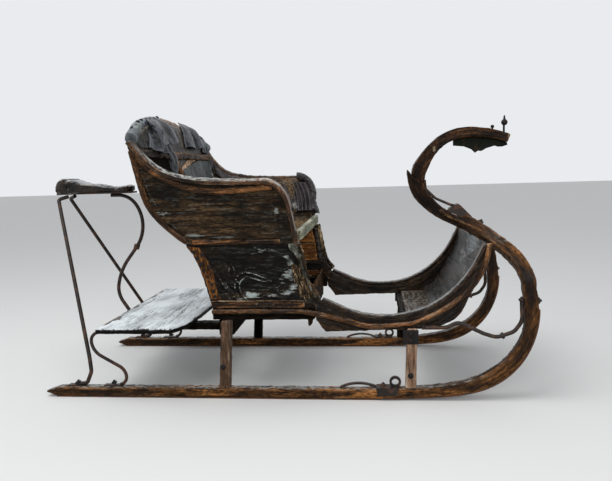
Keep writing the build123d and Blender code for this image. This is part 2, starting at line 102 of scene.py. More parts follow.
def feed(node, wires):
    """Joins or sets a node's inputs, by name or number. A colour may leave out its last number."""
    for key, value in wires.items():
        inlet = node.inputs[key]
        if isinstance(value, Wire):
            value.tree.links.new(value.socket, inlet)
        elif inlet.type == "RGBA":
            inlet.default_value = (*value, 1)
        else:
            inlet.default_value = value


def grow(tree, kind, wires=None, **settings):
    """One new node in a tree, with its settings made first and its inputs fed after."""
    node = tree.nodes.new(kind)
    for key, value in settings.items():
        setattr(node, key, value)
    feed(node, wires or {})
    return node


def value_of(tree, kind, wires=None, output=0, **settings):
    """One output of a new node."""
    return Wire(tree, grow(tree, kind, wires, **settings).outputs[output])


def plain_material(name):
    """A material with an empty tree, its Principled shader joined to the output."""
    made = bpy.data.materials.new(name)
    made.use_nodes = True
    tree = made.node_tree
    tree.nodes.clear()
    shader = tree.nodes.new("ShaderNodeBsdfPrincipled")
    tree.links.new(shader.outputs["BSDF"], tree.nodes.new("ShaderNodeOutputMaterial").inputs["Surface"])
    return made, tree, shader


def looked_at(tree):
    """1 for what the camera sees, also in a gloss or through glass, and 0 for what light reaches."""
    path = grow(tree, "ShaderNodeLightPath").outputs
    shown = Wire(tree, path["Is Camera Ray"])
    for ray in ("Is Glossy Ray", "Is Transmission Ray"):
        shown = (shown + Wire(tree, path[ray])).kept()
    return shown


PALE = (0.70, 0.70, 0.69)
TURF = (0.16, 0.165, 0.15)
bpy.ops.mesh.primitive_plane_add(size=60)
ground = bpy.context.object
ground.name = "floor"
ground_finish, ground_tree, ground_shader = plain_material("pale_floor")
feed(ground_shader, {"Base Color": looked_at(ground_tree).tint(TURF, PALE), "Roughness": 0.9})
ground.data.materials.append(ground_finish)

SKY_LIGHT = 0.66
SKY_SHOWN = 0.86
sky = bpy.data.worlds.new("even_sky")
bpy.context.scene.world = sky
sky.use_nodes = True
brightness = looked_at(sky.node_tree).math("MULTIPLY_ADD", SKY_SHOWN - SKY_LIGHT, SKY_LIGHT)
feed(sky.node_tree.nodes["Background"], {"Color": (0.95, 0.97, 1), "Strength": brightness})


def soft_lamp(name, place, aim, size, power):
    lamp = bpy.data.lights.new(name, "AREA")
    lamp.shape = "SQUARE"
    lamp.size = size
    lamp.energy = power
    holder = bpy.data.objects.new(name, lamp)
    bpy.context.scene.collection.objects.link(holder)
    way = Vector(aim) - Vector(place)
    holder.matrix_world = Matrix.Translation(place) @ way.to_track_quat("-Z", "Y").to_matrix().to_4x4()


soft_lamp("overhead", (-1.2, -1.4, 4.2), (0, 0, 0.5), 3.0, 105)
soft_lamp("from_the_right", (2.0, -4.2, 2.2), (0, 0, 0.6), 2.0, 58)


# Runners. Two ash timbers, sawn square, steamed and bent up in front and in towards the neck, once
# painted brown. The varnish is rubbed off along the corners and the timber has split along its grain.
def clouds(where, stretch, detail=5, rough=0.6, warp=0.0):
    """Noise with so many spots a metre along each of the three directions."""
    scaled = value_of(where.tree, "ShaderNodeVectorMath", {0: where, 1: stretch}, operation="MULTIPLY")
    wires = {"Vector": scaled, "Scale": 1.0, "Detail": detail, "Roughness": rough, "Distortion": warp}
    return value_of(where.tree, "ShaderNodeTexNoise", wires)


def new_group(name, takes, gives):
    """A shader node group, what it takes and the node for what it gives, which are plain values."""
    tree = bpy.data.node_groups.new(name, "ShaderNodeTree")
    for way, labels in (("INPUT", takes), ("OUTPUT", gives)):
        for label in labels:
            kind = "NodeSocketVector" if label == "Where" else "NodeSocketFloat"
            tree.interface.new_socket(name=label, in_out=way, socket_type=kind)
    start = tree.nodes.new("NodeGroupInput")
    return tree, [Wire(tree, start.outputs[label]) for label in takes], tree.nodes.new("NodeGroupOutput")


def use_group(tree, group, **wires):
    """The values that a group gives in a tree."""
    return [Wire(tree, outlet) for outlet in grow(tree, "ShaderNodeGroup", wires, node_tree=group).outputs]


fibre_group, (where, cracks), given = new_group(
    "wood_fibre", ["Where", "Cracks"], ["Fibre", "Streak", "Crack"])
coarse = clouds(where, (2.6, 75, 75), 4, 0.6, 0.4)
split = (coarse - 0.5).math("ABSOLUTE").span(0.022, 0.006)
feed(given, {
    "Fibre": clouds(where, (9, 330, 330), 4, 0.6) * 0.5 + coarse * 0.5,
    "Streak": clouds(where, (6, 34, 34), 7, 0.72, 0.4).span(0.40, 0.62),
    "Crack": split * clouds(where, (3, 14, 14), 2).span(0.46, 0.6) * cracks,
})

loss_group, (where, loss, wear_and_highlight, patch), given = new_group(
    "varnish_loss", ["Where", "Loss", "Rub", "Patch"], ["Bare", "Rim"])
flakes = clouds(where, (24, 70, 70), 8, 0.76) * 0.55 + clouds(where, (3.2, 9, 9), 4, 0.6) * 0.45
over = flakes + wear_and_highlight * 0.16 + patch * 0.2 - (loss * 0.30).math("MULTIPLY_ADD", -1.0, 0.70)
feed(given, {
    "Bare": over.span(-0.012, 0.016),
    "Rim": over.span(-0.035, -0.008) * over.span(0.004, -0.006),
})

# Wet gloss; pale dust on faces turned up, which also stands for a painted sheen of the wet tops; grime,
# joined with the painted shade; and lichen.
damp_and_shade_group, (where, painted_shade), given = new_group(
    "rain_dirt_and_painted_light", ["Where", "Nook"], ["Wet", "DustAndSheen", "GrimeAndShade", "Lichen"])
shading = value_of(damp_and_shade_group, "ShaderNodeNewGeometry", output="Normal")
up = value_of(damp_and_shade_group, "ShaderNodeSeparateXYZ", {0: shading}, "Z").span(0.35, 0.8)
feed(given, {
    "Wet": up * clouds(where, (6, 9, 9), 4, 0.55).span(0.38, 0.62),
    "DustAndSheen": up * clouds(where, (40, 60, 60), 6, 0.7).span(0.44, 0.57),
    "GrimeAndShade": clouds(where, (5, 12, 12), 6, 0.62).span(0.4, 0.66).math("MAXIMUM", painted_shade),
    "Lichen": (clouds(where, (75, 75, 75), 5, 0.7).span(0.6, 0.68)
               * clouds(where, (7, 7, 7), 3).span(0.5, 0.62)),
})


def attribute(tree, name, output="Fac"):
    return value_of(tree, "ShaderNodeAttribute", None, output, attribute_name=name, attribute_type="GEOMETRY")


def turned_up(tree, normal):
    """How far the surface is turned up: 1 is level, 0 upright."""
    way = value_of(tree, "ShaderNodeNewGeometry", output=normal)
    return value_of(tree, "ShaderNodeSeparateXYZ", {0: way}, "Z")


def times(colour, share):
    return tuple(part * share for part in colour)


def bumped(tree, height, distance, strength=0.8):
    return value_of(tree, "ShaderNodeBump", {"Height": height, "Strength": strength, "Distance": distance})


def old_wood(name, varnish, warm, bare, loss=0.3, cracks=1.0, warmth=0.5, wet=0.35, gloss=0.42,
             dust_sheen=0.12, lichen=0.1, patch=(0.30, 0.33, 0.34), haze=0.25, fibre_bump=0.35, rubbed=1.0,
             shine=0.12, side_shade=None, figure=(0.35, 1.5), mottled=(0.4, 1.7), level_only=False):
    """Varnished wood left out of doors: dark varnish with warm streaks, bare where it is rubbed, with painted
    shade in hollows, a painted sheen on level tops and pale painted highlights on ridges.
    """
    made, tree, shader = plain_material(name)
    where = attribute(tree, "grain", "Vector")
    wear_and_highlight = attribute(tree, "wear_and_highlight") * clouds(where, (9, 22, 22), 4, 0.65).span(0.42, 0.62, 0.15, 1.0) * rubbed
    fibre, streak, crack = use_group(tree, fibre_group, Where=where, Cracks=cracks)
    worn_to, rim = use_group(tree, loss_group, Where=where, Loss=loss, Rub=wear_and_highlight, Patch=0.0)
    wetness, dust_and_sheen, grime_and_shade, growth = use_group(tree, damp_and_shade_group, Where=where, Nook=attribute(tree, "painted_shade"))
    # Pale patches: peeled paint, and painted highlights on raised ridges.
    paint_and_highlight = attribute(tree, "patch")
    pale, pale_rim = use_group(tree, loss_group, Where=where, Loss=0.0, Rub=0.0, Patch=paint_and_highlight)
    region = clouds(where, (2.2, 7, 7), 3, 0.6, 0.5).span(0.36, 0.64)
    colour = (streak * region * (warmth * 1.6) + wear_and_highlight * 0.6).kept().tint(varnish, warm)
    hazy = clouds(where, (22, 80, 80), 7, 0.72, 0.3).span(0.50, 0.64)
    hazy = hazy * clouds(where, (3, 9, 9), 3).span(0.36, 0.6)
    colour = (hazy * haze).tint(colour, (0.125, 0.138, 0.130))
    colour = colour.shaded(clouds(where, (50, 150, 150), 5, 0.7).span(0.36, 0.62, *mottled))
    colour = worn_to.tint(colour, fibre.span(0.38, 0.62).tint(times(bare, 0.35), bare))
    colour = (rim * 0.5).tint(colour, bare)
    # Darker with grime, and with painted shade in hollows, grooves and dark spots.
    colour = (grime_and_shade * 0.66).tint(colour, times(varnish, 0.3))
    colour = (pale * 0.92).tint(colour, patch)
    colour = (pale_rim * 0.6).tint(colour, (0.42, 0.42, 0.38))
    colour = colour.shaded(fibre.span(0.34, 0.62, *figure))
    level = turned_up(tree, "True Normal")
    if level_only:
        dust_and_sheen = dust_and_sheen * level.span(0.86, 0.97)
    # Pale on faces turned up: dust, and a painted sheen of the wet tops.
    colour = (dust_and_sheen * dust_sheen).tint(colour, (0.40, 0.41, 0.38))
    colour = (growth * lichen).tint(colour, (0.20, 0.24, 0.16))
    colour = crack.tint(colour, (0.006, 0.004, 0.003))
    # Faces that are not turned up can take a side colour, painted shade under a lit top.
    if side_shade:
        colour = level.span(0.35, 0.8).tint(fibre.tint(side_shade, times(side_shade, 4)), colour)
    rough = worn_to.tint((gloss,) * 3, (0.78,) * 3) + (fibre - 0.5) * 0.35 - wetness * wet
    height = fibre * fibre_bump - crack * 1.0 - worn_to * 0.28 + pale * 0.2
    feed(shader, {
        "Base Color": colour,
        "Roughness": rough.kept().math("MAXIMUM", 0.12),
        "Specular IOR Level": shine,
        "Normal": bumped(tree, height, 0.0018),
    })
    return made


def smooth_line(points, count=240):
    """Evenly spread points on a smooth curve through a few given ones."""
    knots = [Vector(p) for p in points]
    knots = [knots[0] * 2 - knots[1]] + knots + [knots[-1] * 2 - knots[-2]]
    found = []
    for a, b, c, d in zip(knots, knots[1:], knots[2:], knots[3:]):
        for step in range(12):
            t = step / 12
            found.append(0.5 * (2 * b + (c - a) * t + (2 * a - 5 * b + 4 * c - d) * t ** 2
                                + (3 * b - a - 3 * c + d) * t ** 3))
    found.append(knots[-2])
    found = np.array(found)
    reach = np.concatenate([[0], np.cumsum(np.linalg.norm(np.diff(found, axis=0), axis=1))])
    even = np.linspace(0, reach[-1], count)
    return np.stack([np.interp(even, reach, found[:, k]) for k in range(3)], axis=1)


def grain_at(places, grain):
    """How far along the wood each place is, and how far off two ways. Grain names the axes of a
    straight board, its length first, or is the line that a bent piece follows."""
    if isinstance(grain, str):
        return places[:, ["XYZ".index(letter) for letter in grain]]
    gap = np.linalg.norm(np.diff(grain, axis=0), axis=1).mean()
    near = np.empty(len(places), int)
    for first in range(0, len(places), 4000):
        part = places[first:first + 4000]
        near[first:first + 4000] = ((part[:, None] - grain[None]) ** 2).sum(2).argmin(1)
    way = np.gradient(grain, axis=0)
    way /= np.linalg.norm(way, axis=1)[:, None]
    side = np.cross(way, (0, 1, 0.001))
    side /= np.linalg.norm(side, axis=1)[:, None]
    off = places - grain[near]
    along, one_way, other_way = [(off * axis[near]).sum(1) for axis in (way, side, np.cross(way, side))]
    return np.stack([near * gap + along, one_way, other_way], axis=1)


def link(name, mesh):
    made = bpy.data.objects.new(name, mesh)
    bpy.context.scene.collection.objects.link(made)
    return made


def settled(piece):
    """The piece with its modifiers worked into a plain mesh."""
    bpy.context.view_layer.update()
    ready = piece.evaluated_get(bpy.context.evaluated_depsgraph_get())
    mesh = bpy.data.meshes.new_from_object(ready)
    piece.modifiers.clear()
    piece.data = mesh
    return piece


def rows_of(data, field):
    """Three numbers of each corner of a mesh, as rows."""
    flat = np.empty(len(data) * 3, np.float32)
    data.foreach_get(field, flat)
    return flat.reshape(-1, 3)


def places_of(mesh):
    return rows_of(mesh.vertices, "co").astype(float)


def move_to(mesh, places):
    mesh.vertices.foreach_set("co", places.astype(np.float32).ravel())
    mesh.update()


def lumps(places, scale):
    """Noise at each place, between -1 and 1."""
    return np.array([noise.noise(Vector(p) * scale) for p in places])


def neighbour_mean(ends, values):
    total = np.zeros_like(values)
    count = np.bincount(ends.ravel(), minlength=len(values)).astype(float)
    for k in range(values.shape[1]):
        total[:, k] = (np.bincount(ends[:, 0], values[ends[:, 1], k], len(values))
                       + np.bincount(ends[:, 1], values[ends[:, 0], k], len(values)))
    return total / np.maximum(count, 1)[:, None]


def store(mesh, name, values, kind="FLOAT"):
    data = mesh.attributes.new(name, kind, "POINT").data
    data.foreach_set("vector" if kind == "FLOAT_VECTOR" else "value", values.astype(np.float32).ravel())


def nearness(places, points, reach):
    """From 0 to 1, how close each place comes to a smooth line through the points."""
    points = np.array(points, float)
    length = np.linalg.norm(np.diff(points, axis=0), axis=1).sum()
    line = smooth_line(points, max(12, int(length / reach * 1.5)))
    close = np.zeros(len(places))
    low = line.min(0) - reach
    high = line.max(0) + reach
    inside = np.where(((places > low) & (places < high)).all(1))[0]
    for first in range(0, len(inside), 3000):
        some = inside[first:first + 3000]
        away = np.sqrt(((places[some][:, None] - line[None]) ** 2).sum(2).min(1))
        close[some] = np.clip(1 - away / reach, 0, 1)
    return close


EDGE_GAIN = 16
# How strongly raised ridges are painted pale, as a highlight.
RIDGE_HIGHLIGHT = 1.32


def weather(piece, grain, bruise=0.0006, soften=2, cell=0.004, blots=(), stains=(), scores=(), ragged=(),
            deep=0.009):
    """Rounds a piece's corners, dents them, and marks its grain, its rubbed corners, and painted shade in its
    hollows.
    Scores are grooves (points, half width, depth), painted with shade, or ridges where the depth is negative,
    painted with a pale highlight; ragged edges are (points, reach, way they go). Blots and dark spots reach
    so deep across the piece, and dark spots are added to the painted shade."""
    mesh = piece.data
    places = places_of(mesh)
    ends = np.empty(len(mesh.edges) * 2, np.int32)
    mesh.edges.foreach_get("vertices", ends)
    ends = ends.reshape(-1, 2)
    for _ in range(soften):
        places = places * 0.4 + neighbour_mean(ends, places) * 0.6
    move_to(mesh, places)
    out = rows_of(mesh.vertex_normals, "vector").astype(float)
    bend = ((neighbour_mean(ends, places) - places) * out).sum(1, keepdims=True) / cell
    for _ in range(3):
        bend = bend * 0.5 + neighbour_mean(ends, bend) * 0.5
    wear_and_highlight = np.clip(-bend * EDGE_GAIN, 0, 1)
    # Hollows, where the surface bends in, get painted shade.
    painted_shade = np.clip(bend * EDGE_GAIN, 0, 1)
    wave = lumps(places, 34) + 0.6 * lumps(places, 90)
    places = places + out * (wave[:, None] * bruise * (0.5 + 2.4 * wear_and_highlight) + bruise * 0.6)
    for points, reach, way in ragged:
        close = nearness(places, points, reach)
        tear = lumps(places, 70) + lumps(places, 160)
        places = places + np.array(way)[None] * (close * np.clip(tear + 0.35, 0, 1.3))[:, None]
        wear_and_highlight = np.maximum(wear_and_highlight, (close * np.clip(tear + 0.3, 0, 1))[:, None])
    patch = np.zeros(len(places))
    for points, half, depth in scores:
        close = np.sqrt(nearness(places, points, half))[:, None]
        places = places - out * close * depth
        # Ridges are painted lighter, as a highlight, and grooves get painted shade.
        if depth < 0:
            wear_and_highlight = np.maximum(wear_and_highlight, 0.6 * close ** 2)
            painted_shade = painted_shade * (1 - close)
            patch = np.maximum(patch, RIDGE_HIGHLIGHT * close[:, 0] ** 3)
        else:
            painted_shade = np.maximum(painted_shade, close)
            wear_and_highlight = wear_and_highlight * (1 - close)
    move_to(mesh, places)

    def spread_from(spot, wide, high, strength):
        away = (places - np.array(spot)) / (wide, deep, high)
        return strength * np.exp(-(away ** 2).sum(1))

    # Dark spots are added to the painted shade.
    for stain in stains:
        painted_shade = np.maximum(painted_shade, spread_from(*stain)[:, None])
    for blot in blots:
        patch = np.maximum(patch, spread_from(*blot))
    store(mesh, "grain", grain_at(places, grain), "FLOAT_VECTOR")
    store(mesh, "wear_and_highlight", wear_and_highlight)
    store(mesh, "painted_shade", painted_shade)
    store(mesh, "patch", patch)
    mesh.polygons.foreach_set("use_smooth", np.ones(len(mesh.polygons), bool))
    mesh.update()
    return piece


def in_cells(name, shape, cell):
    """A piece of small even cells in the form of a drawn shape."""
    mesh = bpy.data.meshes.new(name)
    shape.to_mesh(mesh)
    shape.free()
    piece = link(name, mesh)
    cells = piece.modifiers.new("cells", "REMESH")
    cells.mode = "VOXEL"
    cells.voxel_size = cell
    return settled(piece)


def cut_from(node, name, cell):
    """A copy of a CAD node's shape in small even cells."""
    solid = bmesh.new()
    solid.from_mesh(cad_nodes[node].data)
    bmesh.ops.remove_doubles(solid, verts=solid.verts, dist=2e-6)
    return in_cells(name, solid, cell)


def hand_over(piece, finish, slot, *nodes):
    """Finish and body of a ready piece, and the CAD nodes that it stands for, which are hidden. The slot is
    not used.
    """
    piece.data.materials.clear()
    piece.data.materials.append(finish)
    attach(piece, "root")
    if nodes:
        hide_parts(*nodes)
    return piece


def worn(node, name, cell, grain, finish, slot, **wear):
    """A weathered piece in the place of a CAD node, made from a copy of its shape."""
    piece = cut_from(node, name, cell)
    weather(piece, grain, cell=cell, **wear)
    return hand_over(piece, finish, slot, node)


def mm(sizes):
    """Numbers in millimetres turned into metres, at any depth of lists."""
    if isinstance(sizes, (int, float)):
        return sizes / 1000
    return type(sizes)(mm(part) for part in sizes)


runner_finish = old_wood("runner_brown", (0.018, 0.010, 0.006), (0.25, 0.105, 0.032), (0.34, 0.20, 0.10),
                         loss=0.14, warmth=0.85, wet=0.45, gloss=0.40, haze=0.12, dust_sheen=0.6, shine=0.1,
                         level_only=True)
# Darker spots on the runners, added to the painted shade.
RUNNER_DARK_SPOTS = [
    ((0.95, 0.22), 0.16, 0.24, 0.75), ((1.05, 0.40), 0.10, 0.20, 0.8), ((-0.95, 0.03), 0.22, 0.1, 0.9),
    ((-0.10, 0.03), 0.12, 0.1, 0.6), ((0.86, 0.69), 0.10, 0.12, 0.95), ((0.97, 0.60), 0.13, 0.13, 0.85),
]
RUNNER_LINE = mm([
    (-1000, 380, 25), (-600, 380, 25), (0, 380, 25), (300, 380, 25), (620, 380, 30), (820, 380, 57),
    (948, 380, 119), (1032, 380, 216), (1066, 380, 360), (1056.5, 380, 459), (1049, 376, 505),
    (1030, 346, 552), (1000, 274, 595), (966, 183, 626), (929, 100, 656), (888, 47, 684),
    (850, 16, 703),
])
SIDES = {"right": -1, "left": 1}
HALF_TRACK = 0.38


def on_side(points, side):
    return [(x, side * y, z) for x, y, z in points]


def on_both(points):
    return [place for side in SIDES.values() for place in on_side(points, side)]


for word, side in SIDES.items():
    worn("runner_" + word, "timber_runner_" + word, 0.0042, smooth_line(on_side(RUNNER_LINE, side), 400),
         runner_finish, "runner_wood", bruise=0.0008, deep=0.5,
         stains=[((x, side * HALF_TRACK, z), *spread) for (x, z), *spread in RUNNER_DARK_SPOTS])


# Runner shoes. Flat iron bars screwed under the runners from the tail to the bend, scoured by the
# road and gone to rust.
rust_group, (where, rust), given = new_group("rust_bloom", ["Where", "Rust"], ["Bloom", "Scale", "Pit"])
bloom = clouds(where, (26, 26, 26), 7, 0.68)
pits = value_of(rust_group, "ShaderNodeTexVoronoi", {"Vector": where, "Scale": 260.0}, "Distance")
feed(given, {
    "Bloom": (bloom - (rust * 0.34).math("MULTIPLY_ADD", -1.0, 0.68)).span(-0.03, 0.07),
    "Scale": clouds(where, (150, 150, 150), 4, 0.6),
    "Pit": pits.span(0.15, 0.4),
})


def old_iron(name, skin, rust, share=0.5, gloss=0.42, metal=0.75, shine=0.5):
    """Forged iron: a dark oxide skin with rust coming through in blooms."""
    made, tree, shader = plain_material(name)
    where = value_of(tree, "ShaderNodeTexCoord", output="Object")
    bloom, scale, pit = use_group(tree, rust_group, Where=where, Rust=share)
    base = scale.tint(times(skin, 0.6), times(skin, 1.5))
    red = scale.tint(times(rust, 0.5), times(rust, 1.35))
    feed(shader, {
        "Base Color": bloom.tint(base, red),
        "Metallic": bloom.span(0, 1, metal, 0.05),
        "Specular IOR Level": shine,
        "Roughness": (bloom.span(0, 1, gloss, 0.8) + scale * 0.2 - 0.1).kept(),
        "Normal": bumped(tree, scale * 0.5 + pit * 0.35 + bloom * 0.4, 0.0008, 0.7),
    })
    return made


def dress(finish, *nodes):
    """The finish on CAD nodes that are shown as they are."""
    for node in nodes:
        slots = cad_nodes[node].material_slots
        for place in slots:
            place.material = finish
        if not slots:
            cad_nodes[node].data.materials.append(finish)


def both(name):
    return [name + "_" + word for word in SIDES]


shoe_finish = old_iron("shoe_rust", (0.06, 0.05, 0.045), (0.14, 0.055, 0.025), share=0.75)
black_iron = old_iron("black_iron", (0.006, 0.005, 0.005), (0.022, 0.013, 0.010), share=0.35, gloss=0.6,
                      metal=0.1, shine=0.25)
dress(shoe_finish, *both("runner_shoe"))


# Draught irons. Forged plates on the runners with an upright ring eye for the shafts, and an arched
# strap behind it for the trace.
iron_finish = old_iron("forged_iron", (0.030, 0.023, 0.020), (0.085, 0.036, 0.018), share=0.42)
dress(iron_finish, *both("draught_iron"))


def turned(name, profile, sides):
    """A small shape turned about its own axis; the profile holds (radius, height) pairs."""
    shape = bmesh.new()
    rings = []
    for radius, height in profile:
        angles = [2 * math.pi * k / sides for k in range(sides)]
        rings.append([shape.verts.new((radius * math.cos(a), radius * math.sin(a), height)) for a in angles])
    for low, high in zip(rings, rings[1:]):
        for k in range(sides):
            shape.faces.new((low[k], low[(k + 1) % sides], high[(k + 1) % sides], high[k]))
    shape.faces.new(rings[0][::-1])
    shape.faces.new(rings[-1])
    mesh = bpy.data.meshes.new(name)
    shape.to_mesh(mesh)
    shape.free()
    return bpy.data.objects.new(name, mesh)


row_tree = bpy.data.node_groups.new("set_in_a_row", "GeometryNodeTree")
for label, kind in (("Geometry", "Geometry"), ("Shape", "Object"), ("Size", "Float"), ("Spread", "Float"),
                    ("Lean", "Float"), ("Spin", "Float"), ("Scatter", "Float"), ("Seed", "Int"),
                    ("Finish", "Material")):
    row_tree.interface.new_socket(name=label, in_out="INPUT", socket_type="NodeSocket" + kind)
row_tree.interface.new_socket(name="Geometry", in_out="OUTPUT", socket_type="NodeSocketGeometry")
points, one, size, spread, lean, spin, scatter, seed, cladding = [
    Wire(row_tree, outlet) for outlet in row_tree.nodes.new("NodeGroupInput").outputs[:9]]


def triple(x, y, z):
    return value_of(row_tree, "ShaderNodeCombineXYZ", {0: x, 1: y, 2: z})


def stored(name):
    return value_of(row_tree, "GeometryNodeInputNamedAttribute", {"Name": name}, data_type="FLOAT_VECTOR")


def chance(low, high, seed):
    """A random direction between two, another for each point."""
    wires = {0: low, 1: high, "Seed": seed}
    return value_of(row_tree, "FunctionNodeRandomValue", wires, data_type="FLOAT_VECTOR")


stood = value_of(row_tree, "FunctionNodeAlignRotationToVector", {"Vector": stored("facing")}, axis="Z")
along_wires = {"Rotation": stood, "Vector": stored("along")}
lined = value_of(row_tree, "FunctionNodeAlignRotationToVector", along_wires, axis="X", pivot_axis="Z")
leaning = chance(triple(-lean, -lean, -spin), triple(lean, lean, spin), seed)
lean_turn = value_of(row_tree, "FunctionNodeEulerToRotation", {0: leaning})
turned_to = value_of(row_tree, "FunctionNodeRotateRotation", {0: lined, 1: lean_turn}, rotation_space="LOCAL")
odd_wires = {2: -spread, 3: spread, "Seed": seed}
odd = value_of(row_tree, "FunctionNodeRandomValue", odd_wires, 1, data_type="FLOAT")
grown_by = odd.math("MULTIPLY_ADD", size, size)
next_seed = value_of(row_tree, "FunctionNodeIntegerMath", {0: seed, 1: 7}, operation="ADD")
off_line = chance(triple(-scatter, -scatter, -scatter), triple(scatter, scatter, scatter), next_seed)
moved = value_of(row_tree, "GeometryNodeSetPosition", {"Geometry": points, "Offset": off_line})
shape_of = value_of(row_tree, "GeometryNodeObjectInfo", {"Object": one}, "Geometry")
placed = value_of(row_tree, "GeometryNodeInstanceOnPoints",
                  {"Points": moved, "Instance": shape_of, "Rotation": turned_to, "Scale": grown_by})
real = value_of(row_tree, "GeometryNodeRealizeInstances", {"Geometry": placed})
clad = value_of(row_tree, "GeometryNodeSetMaterial", {"Geometry": real, "Material": cladding})
feed(row_tree.nodes.new("NodeGroupOutput"), {0: clad})


def set_in_row(name, spots, facing, shape, finish, slot, along=(1, 0, 0), size=1.0, spread=0.0, lean=0.0,
               spin=0.0, scatter=0.0, seed=1):
    """One mesh of like small pieces, one on each spot, standing along its facing."""
    spots = np.array(spots, float).reshape(-1, 3)
    mesh = bpy.data.meshes.new(name)
    mesh.from_pydata([tuple(spot) for spot in spots], [], [])
    for label, ways in (("facing", facing), ("along", along)):
        store(mesh, label, np.broadcast_to(np.array(ways, float), spots.shape), "FLOAT_VECTOR")
    piece = link(name, mesh)
    modifier = piece.modifiers.new("row", "NODES")
    modifier.node_group = row_tree
    values = {"Shape": shape, "Size": size, "Spread": spread, "Lean": lean, "Spin": spin, "Scatter": scatter,
              "Seed": seed, "Finish": finish}
    for socket in row_tree.interface.items_tree:
        if socket.in_out == "INPUT" and socket.name in values:
            modifier[socket.identifier] = values[socket.name]
    settled(piece)
    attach(piece, "root")


NUT = mm([(0, 0), (13, 0), (13, 7), (10.5, 9), (5.5, 9), (5.5, 14), (3.5, 15.5)])
square_nut = turned("square_nut", NUT, 4)
set_in_row("draught_nuts", on_both([(0.478, HALF_TRACK, 0.055)]), (0, 0, 1), square_nut, iron_finish, "iron",
           spin=1.0, seed=3)


# Posts, bolsters and sills. Two pairs of brown posts stand on the runners, a cross bolster joins
# each pair, and the sills lie along the rear bolster under the body.
post_finish = old_wood("post_brown", (0.085, 0.048, 0.028), (0.25, 0.145, 0.09), (0.36, 0.25, 0.17),
                       loss=0.3, warmth=0.9, cracks=1.0, gloss=0.55, haze=0.1, figure=(0.6, 1.25),
                       mottled=(0.7, 1.25))
front_post_finish = old_wood("post_red_brown", (0.34, 0.200, 0.125), (0.62, 0.40, 0.27), (0.72, 0.56, 0.44),
                             loss=0.2, warmth=0.9, cracks=0.8, gloss=0.55, haze=0.05, figure=(0.7, 1.15),
                             mottled=(0.75, 1.2))
# Near-black wood. On the far posts, the sills and the bare near half of the back its blackness is painted
# shade.
black_and_shade_finish = old_wood("black_beam_and_shade", (0.005, 0.004, 0.003), (0.020, 0.012, 0.008), (0.10, 0.065, 0.04),
                       loss=0.03, warmth=0.3, haze=0.02, shine=0.02, gloss=0.8)


def prism(name, inner, outer, cell):
    """A closed piece between two outlines with as many corners, in even cells."""
    shape = bmesh.new()
    inner = [shape.verts.new(spot) for spot in inner]
    outer = [shape.verts.new(spot) for spot in outer]
    shape.faces.new(inner)
    shape.faces.new(outer[::-1])
    for k in range(len(inner)):
        after = (k + 1) % len(inner)
        shape.faces.new((inner[after], inner[k], outer[k], outer[after]))
    bmesh.ops.triangulate(shape, faces=shape.faces)
    bmesh.ops.recalc_face_normals(shape, faces=shape.faces)
    return in_cells(name, shape, cell)


BAND = mm([(561, 238), (622, 238), (622, 298), (561, 298)])
POST_FACE = 0.402
BAND_FACE = POST_FACE + 0.0045
for word, side in SIDES.items():
    outlines = [[(x, side * face, z) for x, z in BAND] for face in (POST_FACE - 0.001, BAND_FACE)]
    hand_over(prism("post_band_" + word, *outlines, 0.0022), black_iron, "iron")
round_head = turned("round_head", mm([(12.5, -1), (12.5, 1.5), (10.5, 5), (6, 7.5), (0.6, 8.2)]), 10)
bolts = on_both([(0.589, POST_FACE, 0.106), (-0.191, POST_FACE, 0.139),
                 (0.591, BAND_FACE, 0.282), (0.591, BAND_FACE, 0.252)])
set_in_row("post_bolts", bolts, on_both([(0, 1, 0)] * 4), round_head, black_iron, "iron", spread=0.1,
           spin=1.5, seed=31)
NEAR_POSTS = {"rear": post_finish, "front": front_post_finish}
# The far (left) posts take the black finish as painted shade, as they stand in shadow; the near ones keep
# their brown.
for word in SIDES:
    for end, near_finish in NEAR_POSTS.items():
        worn(f"{end}_post_{word}", f"post_{end}_{word}", 0.0035, "ZXY",
             near_finish if word == "right" else black_and_shade_finish, "post_wood")
    worn("sill_" + word, "sill_beam_" + word, 0.0045, "XYZ", black_and_shade_finish, "panel_wood")
for end in NEAR_POSTS:
    worn(end + "_bolster", "bolster_" + end, 0.006, "YXZ", black_and_shade_finish, "post_wood")


# Swan neck. A lower timber between the runner ends and an upper one scarfed to it and bent over to
# the head, both with their varnish worn brown along the corners.
neck_finish = old_wood("neck_brown", (0.006, 0.004, 0.003), (0.082, 0.034, 0.012), (0.22, 0.13, 0.07),
                       loss=0.08, warmth=0.75, wet=0.2, gloss=0.38, haze=0.04, dust_sheen=0.0, lichen=0.03,
                       shine=0.07, patch=(0.34, 0.20, 0.09))
NECK_LINE = mm([
    (965, 0, 632), (900, 0, 670), (815, 0, 710), (700, 0, 786), (650, 0, 856), (645, 0, 908),
    (674, 0, 962), (727, 0, 1034), (795, 0, 1084), (880, 0, 1100), (973, 0, 1091), (1056, 0, 1067),
])
neck_line = smooth_line(NECK_LINE, 400)
worn("neck_lower", "timber_neck_lower", 0.004, neck_line, neck_finish, "neck_wood", bruise=0.0008)
worn("neck_upper", "timber_neck_upper", 0.004, neck_line, neck_finish, "neck_wood", bruise=0.0008,
     blots=[((1.060, 0, 1.062), 0.013, 0.060, 2.2), ((0.727, -0.03, 1.030), 0.010, 0.022, 1.1)], deep=0.06)
dress(iron_finish, "neck_bow_iron")
nut_spots = [(0.935, 0, 0.692), (0.795, 0, 0.742)] + on_both([(1.030, 0.39, 0.417), (1.088, 0.39, 0.413)])
nut_ways = [(0.45, 0, 0.9), (0.5, 0, 0.85)] + [(-1, 0, 0), (1, 0, 0)] * 2
set_in_row("neck_nuts", nut_spots, nut_ways, square_nut, iron_finish, "iron", along=(0, 1, 0), spin=0.3,
           seed=33)


